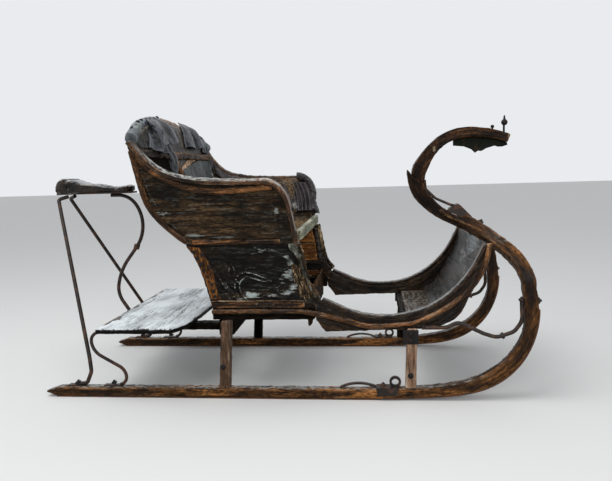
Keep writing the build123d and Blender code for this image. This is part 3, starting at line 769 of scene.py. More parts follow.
# Head. A torn sheet hangs under the bent head. An iron finial and a small knob for the reins stand
# on top of it.
sheet_finish = old_iron("sheet_black_green", (0.007, 0.009, 0.006), (0.030, 0.022, 0.012), share=0.4,
                        gloss=0.75, metal=0.0, shine=0.1)
dress(sheet_finish, "head_sheet")
dress(black_iron, "head_finial")


# Footwell. Two bent side boards run down from the seat and up to the neck, each with a wet rounded
# lip on top and a bead along its outside.
side_finish = old_wood("side_board_black", (0.010, 0.007, 0.005), (0.07, 0.036, 0.016), (0.18, 0.11, 0.07),
                       loss=0.08, warmth=0.45, wet=0.4, gloss=0.4, haze=0.25)
# The lip's pale top is dust and a painted sheen of the wet varnish.
lip_finish = old_wood("lip_black", (0.010, 0.008, 0.007), (0.09, 0.045, 0.022), (0.2, 0.14, 0.1),
                      loss=0.08, warmth=0.4, wet=0.55, gloss=0.3, haze=0.2, dust_sheen=0.4, shine=0.2)
moulding_finish = old_wood("moulding_brown", (0.012, 0.007, 0.005), (0.230, 0.100, 0.036), (0.36, 0.22, 0.12),
                           loss=0.14, warmth=0.9, wet=0.4, gloss=0.32, haze=0.12)
LIP_LINE = mm([
    (200, 360, 420), (240, 360, 405), (330, 360, 369), (442, 360, 341), (553, 360, 343),
    (682, 360, 384), (795, 360, 471), (862, 360, 566), (900, 360, 645),
])
BEAD_LINE = mm([
    (-232, 380, 372), (0, 380, 372), (141, 380, 372), (282, 380, 345), (375, 380, 319), (469, 380, 308),
    (562, 380, 315), (654, 380, 339), (746, 380, 391), (800, 380, 432), (882, 380, 548),
    (904, 380, 643),
])
for word, side in SIDES.items():
    lip_line, bead_line = [smooth_line(on_side(line, side), 300) for line in (LIP_LINE, BEAD_LINE)]
    worn("footwell_side_" + word, "side_board_" + word, 0.0045, lip_line, side_finish, "panel_wood")
    worn("footwell_lip_" + word, "lip_" + word, 0.0032, lip_line, lip_finish, "moulding_wood")
    worn("foot_bead_" + word, "bead_" + word, 0.003, bead_line, moulding_finish, "moulding_wood",
         bruise=0.0003)


# Dash and floors. A bent board closes the footwell in front, one floor board is left before it, and
# the floor under the seat is whole behind its riser.
dash_finish = old_wood("dash_black", (0.020, 0.019, 0.018), (0.070, 0.050, 0.036), (0.24, 0.2, 0.16),
                       loss=0.05, warmth=0.6, wet=0.2, gloss=0.42, dust_sheen=0.04, haze=0.6, shine=0.08,
                       patch=(0.20, 0.225, 0.24))
floor_finish = old_wood("floor_bare", (0.04, 0.028, 0.02), (0.11, 0.07, 0.042), (0.26, 0.2, 0.15),
                        loss=0.35, warmth=0.6, wet=0.4, dust_sheen=0.3)
orange_finish = old_wood("inner_pine", (0.13, 0.050, 0.014), (0.36, 0.145, 0.038), (0.42, 0.20, 0.07),
                         loss=0.3, warmth=0.9, wet=0.1, gloss=0.55, haze=0.05, shine=0.08)
riser_finish = old_wood("riser_brown", (0.018, 0.011, 0.007), (0.100, 0.050, 0.022), (0.20, 0.12, 0.07),
                        loss=0.1, warmth=0.7, wet=0.0, gloss=0.7, dust_sheen=0.0, haze=0.04, shine=0.03)
worn("dash", "dash_board", 0.0048, "YXZ", dash_finish, "panel_wood",
     blots=[((0.860, -0.06, 0.62), 0.06, 0.07, 1.7), ((0.84, 0.08, 0.55), 0.06, 0.05, 1.1)], deep=0.18)
worn("front_floor", "floor_board_front", 0.005, "YXZ", floor_finish, "bare_wood")
worn("seat_floor", "floor_under_seat", 0.006, "YXZ", floor_finish, "bare_wood")
worn("riser_board", "riser", 0.005, "YZX", riser_finish, "bare_wood", bruise=0.001)


# Front stays. Bent rods from pads on the footwell sides down to the runners, where they turn up and
# end in the bend.
dress(iron_finish, *both("front_stay"))


# Body, lower sides. Panels carved with leaf scrolls, their paint scaled off down to a pale ground, a
# grooved foot moulding below, and behind it bare wood with the nail holes of a lost moulding.
def half_width(z):
    """Half width of the body over its outer faces at a height."""
    if z < 0.66:
        return 0.378 + (z - 0.388) * math.tan(math.radians(6.71))
    return 0.41 + (z - 0.66) * math.tan(math.radians(19.8))


def on_wall(points, side, out=0.0):
    """Places on the outer face of a side wall from their X and Z, some way out from it."""
    return [(x, side * (half_width(z) + out), z) for x, z in points]


def wall_marks(rows, side):
    """Blots or stains on a side wall, from X, Z, reach along and up in millimetres, and strength."""
    return [(*on_wall([mm((x, z))], side), *mm((wide, high)), strength)
            for x, z, wide, high, strength in rows]


def slab(name, edge, side, low, high, finish, slot, grain="ZXY", cell=0.0026, **wear):
    """A weathered flat piece on a side wall, its outline in X and Z, from low to high off the wall."""
    piece = prism(name, on_wall(edge, side, low), on_wall(edge, side, high), cell)
    weather(piece, grain, soften=1, cell=cell, **wear)
    hand_over(piece, finish, slot)


panel_finish = old_wood("panel_black", (0.013, 0.009, 0.006), (0.135, 0.080, 0.040), (0.26, 0.21, 0.15),
                        loss=0.12, warmth=0.62, wet=0.2, gloss=0.45, patch=(0.26, 0.29, 0.28),
                        fibre_bump=0.3, haze=0.55, cracks=0.8, shine=0.08)
carved_finish = old_wood("carved_black", (0.006, 0.005, 0.004), (0.052, 0.032, 0.018), (0.20, 0.17, 0.14),
                         loss=0.03, warmth=0.45, wet=0.2, gloss=0.40, patch=(0.42, 0.47, 0.47),
                         fibre_bump=0.28, haze=0.45, cracks=0.8, shine=0.08)
bare_finish = old_wood("bare_pine", (0.065, 0.026, 0.010), (0.36, 0.145, 0.04), (0.44, 0.22, 0.09),
                       loss=0.2, warmth=0.75, wet=0.1, gloss=0.55, haze=0.05, shine=0.1)
torn_finish = old_wood("torn_fibres", (0.012, 0.008, 0.006), (0.10, 0.055, 0.026), (0.46, 0.33, 0.18),
                       loss=0.34, warmth=0.7, wet=0.1, gloss=0.6, haze=0.15, cracks=2.5, shine=0.1)
edge_finish = old_wood("edge_lichen", (0.020, 0.018, 0.013), (0.13, 0.125, 0.09), (0.33, 0.33, 0.27),
                       loss=0.45, warmth=0.8, wet=0.1, gloss=0.6, haze=0.5, lichen=0.8, cracks=1.5, shine=0.1)
crust_finish = old_wood("lichen_crust", (0.12, 0.125, 0.095), (0.24, 0.25, 0.20), (0.38, 0.39, 0.33),
                        loss=0.5, warmth=0.8, wet=0.0, gloss=0.7, haze=0.2, lichen=0.9, cracks=2.0, shine=0.1)
foot_finish = old_wood("foot_brown", (0.016, 0.009, 0.006), (0.30, 0.13, 0.045), (0.46, 0.33, 0.20),
                       loss=0.30, warmth=0.95, wet=0.3, gloss=0.4, haze=0.1, rubbed=1.4)
SCROLL_TOP = mm([
    (27, 503), (-7, 518), (-46, 535), (-79, 540), (-103, 533), (-117, 521), (-121, 508), (-112, 499),
])
SCROLL_FOOT = mm([
    (27, 502), (-8, 503), (-47, 515), (-70, 519), (-91, 513), (-106, 494), (-106, 466), (-96, 442),
    (-75, 420), (-45, 400),
])
SCROLL_STEM = mm([(-126, 492), (-127, 465), (-115, 436), (-93, 411), (-68, 392)])
LEAF_BACK = mm([(-210, 546), (-189, 515), (-165, 473), (-133, 439), (-101, 411), (-62, 384)])
LEAF_FRONT = mm([(-169, 501), (-152, 466), (-126, 442), (-87, 421)])
LEAF_UP_REAR = mm([(-150, 528), (-147, 553), (-134, 574)])
LEAF_UP_FRONT = mm([(-134, 574), (-125, 548), (-131, 521)])
CARVING = [
    (SCROLL_TOP, 0.0060, -0.0052), (SCROLL_FOOT, 0.0062, -0.0052), (SCROLL_STEM, 0.0055, -0.0045),
    (LEAF_BACK, 0.0060, -0.0050), (LEAF_FRONT, 0.0055, -0.0045), (LEAF_UP_REAR, 0.0050, -0.0042),
    (LEAF_UP_FRONT, 0.0050, -0.0042),
]
HOLLOWS = mm([
    ([(0, 509), (-45, 525), (-78, 530), (-100, 521)], 6.5, 4.2),
    ([(-117, 497), (-117, 465), (-106, 438), (-85, 414)], 5.5, 4.2),
    ([(-196, 546), (-176, 510), (-152, 480), (-118, 452)], 6, 3.6),
    ([(-225, 545), (-202, 505), (-175, 462), (-140, 425)], 6, 3.6),
    ([(-141, 530), (-137, 553)], 5, 3.6),
    ([(-120, 552), (-108, 530), (-80, 552), (-40, 548), (20, 520)], 5, 2.6),
    ([(-90, 500), (-90, 470), (-75, 440)], 5, 2.6),
])
PALE_PLACES = [
    (-60, 440, 40, 16, 1.12), (-75, 452, 12, 10, 1.25), (20, 441, 45, 12, 1.02),
    (95, 455, 60, 26, 1.12), (120, 475, 40, 35, 1.1), (70, 500, 35, 30, 0.85), (100, 530, 35, 40, 0.95),
    (112, 575, 26, 34, 1.15), (95, 600, 30, 12, 1.0), (-47, 618, 50, 16, 0.7), (10, 630, 60, 18, 0.75),
    (-78, 560, 40, 20, 0.6), (50, 580, 60, 30, 0.6), (-215, 640, 40, 16, 0.75),
    (105, 510, 50, 50, 0.75), (70, 462, 80, 20, 0.8), (-150, 450, 60, 16, 0.6), (110, 555, 30, 30, 1.0),
]
NAIL_STRIP = mm([
    (-322, 655), (-295, 617), (-274, 564), (-257, 523), (-244, 474), (-233, 424), (-189, 424),
    (-201, 448), (-210, 495), (-213, 543), (-237, 597), (-268, 648),
])
NAIL_HOLES = mm([
    (-290, 628), (-278, 602), (-264, 578), (-253, 552), (-240, 522), (-227, 490), (-220, 460),
    (-216, 438), (-256, 618), (-229, 565),
])
FRONT_TEAR = mm([
    (112, 570), (124, 530), (140, 480), (146, 428), (186, 424), (176, 470), (160, 520), (142, 566),
])
EDGE_LINE = mm([(137, 668), (146, 630), (155, 592), (165, 551), (178, 511), (197, 463), (214, 432)])
LICHEN_TOP = mm([(108, 655), (136, 655), (152, 606), (140, 600), (128, 622), (112, 632)])
LATH = EDGE_LINE + [(x - 0.008, z) for x, z in reversed(EDGE_LINE)]
plug = turned("plug", mm([(10.5, -1.5), (10, 1), (8, 1.6)]), 4)
for word, side in SIDES.items():
    # A darker band along the top of each lower panel is added to the painted shade.
    worn("lower_side_" + word, "panel_lower_" + word, 0.0029, "XZY", carved_finish, "panel_wood",
         blots=wall_marks(PALE_PLACES, side), stains=wall_marks([(-50, 650, 200, 35, 1.0)], side),
         scores=[(on_wall(line, side), half, depth) for line, half, depth in CARVING + HOLLOWS])
    holes = [(on_wall([(x, z), (x + 0.001, z)], side), 0.0075, 0.005) for x, z in NAIL_HOLES]
    slab("nail_strip_" + word, NAIL_STRIP, side, -0.002, 0.0022, bare_finish, "bare_wood", scores=holes)
    slab("torn_front_" + word, FRONT_TEAR, side, -0.002, 0.003, torn_finish, "bare_wood", bruise=0.0026)
    slab("edge_lath_" + word, LATH, side, -0.002, 0.011, edge_finish, "moulding_wood", bruise=0.0014)
    slab("lichen_crust_" + word, LICHEN_TOP, side, -0.002, 0.0095, crust_finish, "moulding_wood",
         cell=0.003, bruise=0.003)
    set_in_row("strip_plugs_" + word, on_wall(NAIL_HOLES, side, 0.0018), (0, side, 0.12), plug, black_iron,
               "iron", along=(1, 0, 1), spread=0.22, lean=0.05, spin=0.3, scatter=0.002, seed=17)
FLUTES = 13
FLUTE_STEP = 0.0145
reeds = []
for side in SIDES.values():
    for z in (0.3985, 0.4115):
        reeds.append((on_wall([(-0.23, z), (-0.05, z), (0.158, z)], side, 0.01), 0.0036, 0.0034))
    for k in range(FLUTES):
        x = -0.048 + FLUTE_STEP * k
        reeds.append((on_wall([(x, 0.392), (x, 0.405), (x, 0.417)], side, 0.01), 0.0034, 0.003))
worn("foot_mouldings", "moulding_foot", 0.0027, "XZY", foot_finish, "moulding_wood", scores=reeds)
worn("front_strips", "strip_front", 0.0032, "ZXY", torn_finish, "moulding_wood", bruise=0.0022)

INNER_FACE = -0.018
PLANK_TOP = mm([(20, 642), (125, 642), (141, 569), (20, 569)])
PLANK_MIDDLE = mm([(20, 565.5), (142, 565.5), (151, 475), (20, 475)])
PLANK_FOOT = mm([(20, 421), (160, 421), (164, 392), (20, 392)])
BATTEN = mm([(132, 642), (150, 642), (178, 463), (157, 463)])
INNER = {"plank_top": PLANK_TOP, "plank_middle": PLANK_MIDDLE, "plank_foot": PLANK_FOOT, "batten": BATTEN}
for name, edge in INNER.items():
    finish = lip_finish if name == "batten" else orange_finish
    slab("inner_" + name, edge, 1, INNER_FACE - 0.0045, INNER_FACE + 0.002, finish, "bare_wood", "XZY",
         0.0034, bruise=0.0008)


def loose_fibre(name, dark, pale):
    """Straw, splinters or wool, each strand a little darker or paler than the next."""
    made, tree, shader = plain_material(name)
    where = value_of(tree, "ShaderNodeTexCoord", output="Object")
    share = clouds(where, (120, 120, 120), 4, 0.6).span(0.36, 0.62)
    feed(shader, {
        "Base Color": share.tint(dark, pale),
        "Roughness": share.span(0, 1, 0.9, 0.7),
        "Specular IOR Level": 0.2,
    })
    return made


fibre_finish = loose_fibre("cream_fibres", (0.10, 0.055, 0.025), (0.55, 0.40, 0.22))
straw_finish = loose_fibre("straw", (0.06, 0.035, 0.018), (0.36, 0.24, 0.12))
wool_finish = loose_fibre("white_wool", (0.35, 0.34, 0.31), (0.80, 0.80, 0.76))
STALK = [(0.0004, -0.5), (0.014, -0.45), (0.017, 0.0), (0.013, 0.45), (0.0004, 0.5)]
SPLINTER = [(0.0004, -0.5), (0.035, -0.22), (0.045, 0.1), (0.02, 0.38), (0.0004, 0.5)]
straw = turned("straw_stalk", STALK, 4)
splinter = turned("splinter", SPLINTER, 4)
lots = random.Random(11)
slivers = []
for side in SIDES.values():
    for _ in range(34):
        z = lots.uniform(0.43, 0.54)
        x = 0.150 - (z - 0.48) * 0.40 + lots.uniform(-0.018, 0.022)
        slivers += on_wall([(x, z)], side, 0.0035)
set_in_row("front_slivers", slivers, (-0.36, 0, 1), splinter, fibre_finish, "bare_wood", size=0.030,
           spread=0.5, lean=0.13, spin=3.1, seed=5)


# Body, upper sides. Flared panels with a cap along the top that runs down the arm's front, a half
# round below it, one up the rear edge, and a rail along the foot.
# The cap's pale top is dust and a painted sheen of the wet varnish.
cap_finish = old_wood("cap_brown", (0.010, 0.006, 0.005), (0.180, 0.080, 0.030), (0.36, 0.25, 0.16),
                      loss=0.14, warmth=0.85, wet=0.5, gloss=0.28, haze=0.10, dust_sheen=0.85, shine=0.2)
CUT_PLACE = (-0.474, 0, 1.080)
CUT_WAY = (-0.6, 0, 0.8)


def cut_short(piece):
    """Takes off the rear tip, which the leather roll wraps, and closes the cut."""
    shape = bmesh.new()
    shape.from_mesh(piece.data)
    parts = shape.verts[:] + shape.edges[:] + shape.faces[:]
    cut = bmesh.ops.bisect_plane(shape, geom=parts, plane_co=CUT_PLACE, plane_no=CUT_WAY, clear_outer=True)
    edges = [part for part in cut["geom_cut"] if isinstance(part, bmesh.types.BMEdge)]
    closed = bmesh.ops.holes_fill(shape, edges=edges)["faces"]
    bmesh.ops.triangulate(shape, faces=closed)
    bmesh.ops.recalc_face_normals(shape, faces=shape.faces)
    shape.to_mesh(piece.data)
    shape.free()


CAP_LINE = mm([
    (-489, 575, 1116), (-397, 530, 993), (-304, 512, 944), (-172, 506, 926), (28, 504, 921),
    (88, 495, 896), (125, 466, 817), (150, 410, 660),
])
REAR_LINE = mm([(-474, 550, 1046), (-460, 490, 880), (-416, 450, 772), (-318, 415, 674)])
UPPER_PALE = [
    (-400, 795, 50, 20, 1.05), (-211, 752, 90, 20, 0.85), (-161, 731, 80, 20, 0.85),
    (-272, 700, 70, 12, 1.15), (-167, 691, 80, 10, 1.2), (69, 790, 12, 60, 1.05),
    (-60, 760, 200, 40, 0.5),
]
# Darker bands on the upper panels, along the cap and the mouldings, added to the painted shade.
UPPER_DARK = [(-50, 890, 400, 30, 0.9), (90, 800, 20, 100, 0.55), (-100, 680, 300, 12, 0.7)]
REAR_EDGE = mm([(-452, 1000), (-438, 890), (-398, 790), (-345, 725)])
STRIP_FRONT = mm([(50, 892), (62, 850), (68, 790), (72, 740), (74, 690)])
for word, side in SIDES.items():
    cap_line = smooth_line(on_side(CAP_LINE, side), 300)
    rear_line = smooth_line(on_side(REAR_LINE, side), 200)
    panel_marks = [(on_wall(STRIP_FRONT, side), 0.0045, 0.0035),
                   (on_wall(REAR_EDGE, side), 0.0048, -0.0006)]
    cut_short(worn("upper_side_" + word, "panel_upper_" + word, 0.0036, "XZY", panel_finish, "panel_wood",
                   stains=wall_marks(UPPER_DARK, side), blots=wall_marks(UPPER_PALE, side),
                   scores=panel_marks))
    cut_short(worn("cap_moulding_" + word, "cap_" + word, 0.0032, cap_line, cap_finish, "moulding_wood"))
    worn("rear_moulding_" + word, "moulding_rear_" + word, 0.003, rear_line, moulding_finish, "moulding_wood",
         bruise=0.0003)
worn("roll_mouldings", "moulding_roll", 0.0032, "XZY", moulding_finish, "moulding_wood", bruise=0.0003)
worn("mid_rails", "rail_middle", 0.003, "XZY", moulding_finish, "moulding_wood", bruise=0.0003)


# Back. A bent board between the sides, its top an arch, with a rail across it, a grey lining board on
# its far half and a loose lath, all laid bare where the leather has come away.
back_finish = old_wood("back_grey", (0.028, 0.028, 0.026), (0.130, 0.100, 0.075), (0.30, 0.26, 0.22),
                       loss=0.26, warmth=0.7, wet=0.2, dust_sheen=0.3, haze=0.6, shine=0.12)
lining_finish = old_wood("lining_grey", (0.058, 0.066, 0.068), (0.110, 0.110, 0.100), (0.24, 0.24, 0.22),
                         loss=0.1, warmth=0.5, wet=0.2, dust_sheen=0.2, haze=0.5, shine=0.15, gloss=0.5)
slat_finish = old_wood("slat_brown", (0.030, 0.018, 0.011), (0.20, 0.105, 0.045), (0.30, 0.20, 0.11),
                       loss=0.2, warmth=0.8, wet=0.2, gloss=0.5, haze=0.3, shine=0.12)
fresh_finish = old_wood("fresh_pine", (0.42, 0.25, 0.14), (0.62, 0.42, 0.27), (0.70, 0.52, 0.36),
                        loss=0.3, warmth=0.9, wet=0.1, gloss=0.6, haze=0.0, shine=0.1)
worn("back_panel", "back_board", 0.0052, "ZYX", back_finish, "panel_wood",
     ragged=[([(-0.535, -0.10, 1.20), (-0.538, 0.10, 1.20), (-0.532, 0.28, 1.19)], 0.03, (0, 0, -0.012))])
worn("back_rail", "rail_back", 0.004, "YZX", slat_finish, "bare_wood", bruise=0.0018, deep=0.26,
     stains=[((-0.455, -0.40, 1.04), 0.05, 0.05, 1.4)])
BACK_HEIGHTS = (0.354, 0.523, 0.655, 0.718, 0.830, 0.950, 1.070, 1.215)
BACK_DEPTHS = (-0.222, -0.246, -0.315, -0.385, -0.452, -0.468, -0.480, -0.540)
BACK_FACE = 0.0072


def board_on_back(name, corners, thick, finish):
    """A flat board on the front face of the back, from its corners' Y and Z."""
    faces = [[(float(np.interp(z, BACK_HEIGHTS, BACK_DEPTHS)) + BACK_FACE + out, y, z) for y, z in corners]
             for out in (-0.002, thick)]
    piece = prism(name, *faces, 0.0034)
    weather(piece, "ZYX", bruise=0.0012, soften=1, cell=0.0034)
    hand_over(piece, finish, "bare_wood")


HIGH = 1.026
LOW = 0.705
WALL = 0.022
high_wall = half_width(HIGH) - WALL
low_wall = half_width(LOW) - WALL
LINING_EDGE = [(0.03, 0.972), (0.34, HIGH), (high_wall, HIGH), (low_wall, LOW), (0.03, LOW)]
board_on_back("lining_board", LINING_EDGE, 0.008, lining_finish)
board_on_back("torn_corner", [(0.160, 1.026), (0.297, 1.026), (0.030, 0.968), (0.016, 0.974)], 0.0085,
              fresh_finish)
board_on_back("loose_lath", [(-0.073, 1.026), (-0.041, 1.028), (0.040, 0.940), (-0.003, 0.940)], 0.010,
              bare_finish)
POST_EDGE = [(high_wall - 0.020, HIGH), (high_wall, HIGH), (low_wall, LOW), (low_wall - 0.020, LOW)]
board_on_back("back_post", POST_EDGE, 0.014, lining_finish)
# The thin black board on the near half, where the lining is gone, stands for the dark hollow there as painted
# shade.
board_on_back("lining_lost", [(-0.480, 1.040), (-0.157, HIGH), (-0.148, LOW), (-low_wall, LOW)], 0.003,
              black_and_shade_finish)
NEAR_EDGE = mm([(-480, 1085), (-411, 1136), (-300, 1162), (-250, 1165), (-250, 1062), (-470, 1060)])
board_on_back("lining_near", NEAR_EDGE, 0.005, back_finish)


# Leather of the back. It was nailed over a padded roll along the arch and down the front of the board,
# and has torn into flaps that hang in folds; on a stretch of the arch past its middle the roll is bare.
def old_leather(name, skin, scuffed, gloss=0.42, moss=0.0, stuffing=(0.30, 0.20, 0.14), crackle=0.5,
                top_sheen=0.0, scuffs=(0.36, 0.66)):
    """Harness leather left in the rain: grey where it is scuffed, lighter on ridges as painted highlight,
    with painted shade in its folds and a painted sheen on top, cracked, torn down to the stuffing.
    """
    made, tree, shader = plain_material(name)
    where = value_of(tree, "ShaderNodeTexCoord", output="Object")
    broad = clouds(where, (9, 9, 9), 5, 0.6, 0.4)
    fine = clouds(where, (70, 70, 70), 5, 0.65)
    # Lighter where scuffed, and on ridges and edges as painted highlight.
    colour = (broad.span(*scuffs) + attribute(tree, "wear_and_highlight") * 0.7).kept().tint(skin, scuffed)
    colour = colour.shaded(fine.span(0.3, 0.7, 0.6, 1.35))
    gaps = value_of(tree, "ShaderNodeTexVoronoi", {"Vector": where, "Scale": 170.0}, "Distance",
                    feature="DISTANCE_TO_EDGE")
    cracks = gaps.span(0.07, 0.0) * broad.span(0.42, 0.6)
    colour = (cracks * crackle).tint(colour, (0.012, 0.010, 0.010))
    # Painted shade in fold valleys and grooves.
    colour = (attribute(tree, "painted_shade") * 0.75).tint(colour, (0.006, 0.006, 0.007))
    growth = clouds(where, (34, 34, 34), 6, 0.7).span(0.5, 0.6) * clouds(where, (8, 8, 8), 3).span(0.42, 0.6)
    colour = (growth * moss).tint(colour, (0.26, 0.31, 0.24))
    # Pale on faces turned up: a painted sheen of the wet top.
    sheen_on_top = turned_up(tree, "Normal").span(0.45, 0.85) * broad.span(0.40, 0.56, 0.25, 1.0)
    colour = (sheen_on_top * top_sheen).tint(colour, (0.46, 0.48, 0.49))
    fibres = clouds(where, (40, 160, 160), 5, 0.7)
    stuff_and_highlight = fibres.span(0.36, 0.64).tint(times(stuffing, 0.3), stuffing)
    ragged = (attribute(tree, "patch") + (fine - 0.5) * 1.6).span(0.44, 0.54)
    feed(shader, {
        "Base Color": ragged.tint(colour, stuff_and_highlight),
        "Roughness": (fine * 0.4 + (gloss - 0.2) + ragged * 0.35).kept(),
        "Specular IOR Level": 0.28,
        "Normal": bumped(tree, fine * 0.5 - cracks * 0.5 + fibres * ragged * 0.9, 0.0016),
    })
    return made


flap_leather = old_leather("flap_leather", (0.004, 0.004, 0.005), (0.078, 0.085, 0.100), gloss=0.32,
                           scuffs=(0.48, 0.74))
rim_leather = old_leather("rim_leather", (0.060, 0.068, 0.076), (0.19, 0.215, 0.235), gloss=0.45, moss=0.8,
                          stuffing=(0.46, 0.36, 0.30))
black_leather = old_leather("black_leather", (0.008, 0.006, 0.006), (0.050, 0.042, 0.044), gloss=0.36,
                            stuffing=(0.22, 0.13, 0.08))
FOLD_GROWTH = 2.6
FOLD_EASE = 1.6


def hide(name, rails, finish, rows=60, cols=44, crease=0.0032, torn=0.05, fold=0.016, seed=0.0):
    """A sheet of leather hung through rails, each a row of places from where it is nailed to its torn
    foot, side by side; the foot is ragged and the whole is creased."""
    lines = [smooth_line(rail, rows) for rail in rails]
    grid = np.stack([smooth_line([line[k] for line in lines], cols) for k in range(rows)])
    for column in range(cols):
        reach = 1 - torn * (0.5 + 0.5 * noise.noise((column * 0.23 + seed, seed, 1.7)))
        reach -= torn * 0.4 * max(0.0, noise.noise((column * 0.9 + seed, seed, 5.1)))
        at = np.linspace(0, reach, rows) * (rows - 1)
        before = at.astype(int)
        after = np.minimum(before + 1, rows - 1)
        part = (at % 1)[:, None]
        grid[:, column] = grid[before, column] * (1 - part) + grid[after, column] * part
    out = np.cross(np.gradient(grid, axis=1), np.gradient(grid, axis=0))
    out /= np.maximum(np.linalg.norm(out, axis=2, keepdims=True), 1e-9)
    if out[..., 0].mean() < 0:
        out = -out
    flat = grid.reshape(-1, 3)
    wrinkles = (lumps(flat, 26) + 0.5 * lumps(flat, 65)).reshape(rows, cols)
    folds = np.array([[0.5 + noise.noise((c * 0.13 + seed, k * 0.022, seed)) for c in range(cols)]
                      for k in range(rows)])
    fall = np.minimum(np.linspace(0, 1, rows) * FOLD_GROWTH, 1)[:, None] ** FOLD_EASE
    grid = grid + out * ((wrinkles * crease + folds * fold) * fall)[..., None]
    quads = [(k * cols + c, k * cols + c + 1, (k + 1) * cols + c + 1, (k + 1) * cols + c)
             for k in range(rows - 1) for c in range(cols - 1)]
    mesh = bpy.data.meshes.new(name)
    mesh.from_pydata([tuple(p) for p in grid.reshape(-1, 3)], [], quads)
    piece = link(name, mesh)
    wall = piece.modifiers.new("wall", "SOLIDIFY")
    wall.thickness = 0.0024
    wall.offset = 0
    settled(piece)
    shape = bmesh.new()
    shape.from_mesh(piece.data)
    bmesh.ops.recalc_face_normals(shape, faces=shape.faces)
    shape.to_mesh(piece.data)
    shape.free()
    # Weathering paints shade into the valleys of the folds and lightens their ridges as painted highlight.
    weather(piece, "XYZ", bruise=0.0, soften=0, cell=0.0022)
    hand_over(piece, finish, "leather")


MAIN_FLAP = mm([
    [(-520, -250, 1186), (-488, -281, 1162), (-472, -268, 1131), (-464, -253, 1104), (-455, -238, 1073)],
    [(-522, -255, 1193), (-470, -300, 1165), (-452, -300, 1135), (-440, -288, 1100), (-430, -268, 1072)],
    [(-534, -190, 1205), (-500, -195, 1180), (-486, -184, 1150), (-478, -170, 1115), (-462, -148, 1078)],
    [(-536, -120, 1212), (-496, -110, 1185), (-470, -95, 1150), (-452, -85, 1115), (-440, -75, 1085)],
    [(-536, -90, 1214), (-512, -69, 1186), (-498, -44, 1159), (-484, -30, 1133), (-470, -23, 1102)],
])
SIDE_FLAP = mm([
    [(-520, -250, 1186), (-505, -272, 1150), (-488, -315, 1110), (-468, -390, 1052)],
    [(-518, -252, 1190), (-482, -285, 1150), (-462, -318, 1105), (-444, -350, 1040)],
    [(-514, -258, 1186), (-466, -290, 1150), (-440, -290, 1100), (-428, -290, 1034)],
    [(-512, -250, 1182), (-468, -262, 1140), (-456, -250, 1090), (-440, -225, 1024)],
])
TAIL_FLAP = mm([
    [(-470, -190, 1082), (-462, -166, 1038), (-458, -160, 1004), (-456, -172, 950)],
    [(-452, -160, 1084), (-444, -140, 1040), (-440, -128, 1004), (-442, -132, 948)],
    [(-472, -122, 1076), (-464, -105, 1038), (-459, -92, 1003), (-456, -98, 945)],
])
FAR_FLAP = mm([
    [(-534, 235, 1214), (-502, 180, 1172), (-482, 140, 1122), (-464, 116, 1074)],
    [(-534, 262, 1212), (-486, 232, 1170), (-462, 212, 1120), (-448, 200, 1072)],
    [(-533, 300, 1210), (-498, 290, 1170), (-478, 290, 1118), (-460, 290, 1074)],
    [(-531, 330, 1209), (-480, 340, 1172), (-456, 355, 1124), (-442, 352, 1080)],
    [(-528, 372, 1205), (-508, 420, 1172), (-490, 436, 1130), (-468, 425, 1082)],
])
CORNER_FLAP = mm([
    [(-528, 380, 1200), (-506, 430, 1160), (-482, 445, 1110), (-470, 410, 1058)],
    [(-522, 440, 1180), (-494, 480, 1140), (-472, 490, 1090), (-460, 470, 1048)],
    [(-514, 480, 1160), (-492, 520, 1120), (-470, 535, 1080), (-462, 535, 1040)],
])
ARM_FLAP = mm([
    [(-470, 548, 1078), (-468, 534, 1050), (-464, 520, 1010)],
    [(-400, 508, 978), (-396, 490, 955), (-392, 482, 930)],
    [(-310, 484, 930), (-306, 470, 905), (-302, 460, 880)],
    [(-180, 474, 910), (-178, 462, 890), (-176, 452, 868)],
])
hide("flap_main", MAIN_FLAP, flap_leather, seed=1.3)
hide("flap_side", SIDE_FLAP, flap_leather, seed=4.1, torn=0.03)
hide("flap_tail", TAIL_FLAP, flap_leather, seed=7.7, cols=24, torn=0.02)
hide("flap_far", FAR_FLAP, flap_leather, seed=10.9, torn=0.06)
hide("flap_corner", CORNER_FLAP, flap_leather, seed=13.0, torn=0.08)
hide("flap_arm", ARM_FLAP, black_leather, seed=15.0, torn=0.25, rows=30, cols=80)


SWELL_FRAMES = 20


def swollen(piece, shrink, cap):
    """The piece drawn in a little and swollen again like stuffing in its cover, then smoothed once."""
    out = rows_of(piece.data.vertex_normals, "vector")
    drawn_in = places_of(piece.data) - out * shrink
    move_to(piece.data, drawn_in)
    cover = piece.modifiers.new("cover", "CLOTH")
    cover.settings.use_pressure = True
    cover.settings.uniform_pressure_force = 4
    cover.settings.effector_weights.gravity = 0
    cover.point_cache.frame_start = 1
    cover.point_cache.frame_end = SWELL_FRAMES
    for frame_number in range(1, SWELL_FRAMES + 1):
        bpy.context.scene.frame_set(frame_number)
    settled(piece)
    bpy.context.scene.frame_set(1)
    shift = places_of(piece.data) - drawn_in
    far = np.linalg.norm(shift, axis=1, keepdims=True)
    shift *= np.minimum(1, cap / np.maximum(far, 1e-9))
    move_to(piece.data, drawn_in + shift)
    finer = piece.modifiers.new("finer", "SUBSURF")
    finer.levels = 1
    finer.render_levels = 1
    return settled(piece)


def lay_open(piece, share):
    """Marks how far the cover is torn down to the stuffing, from 0 to 1."""
    piece.data.attributes["patch"].data.foreach_set("value", share.astype(np.float32))


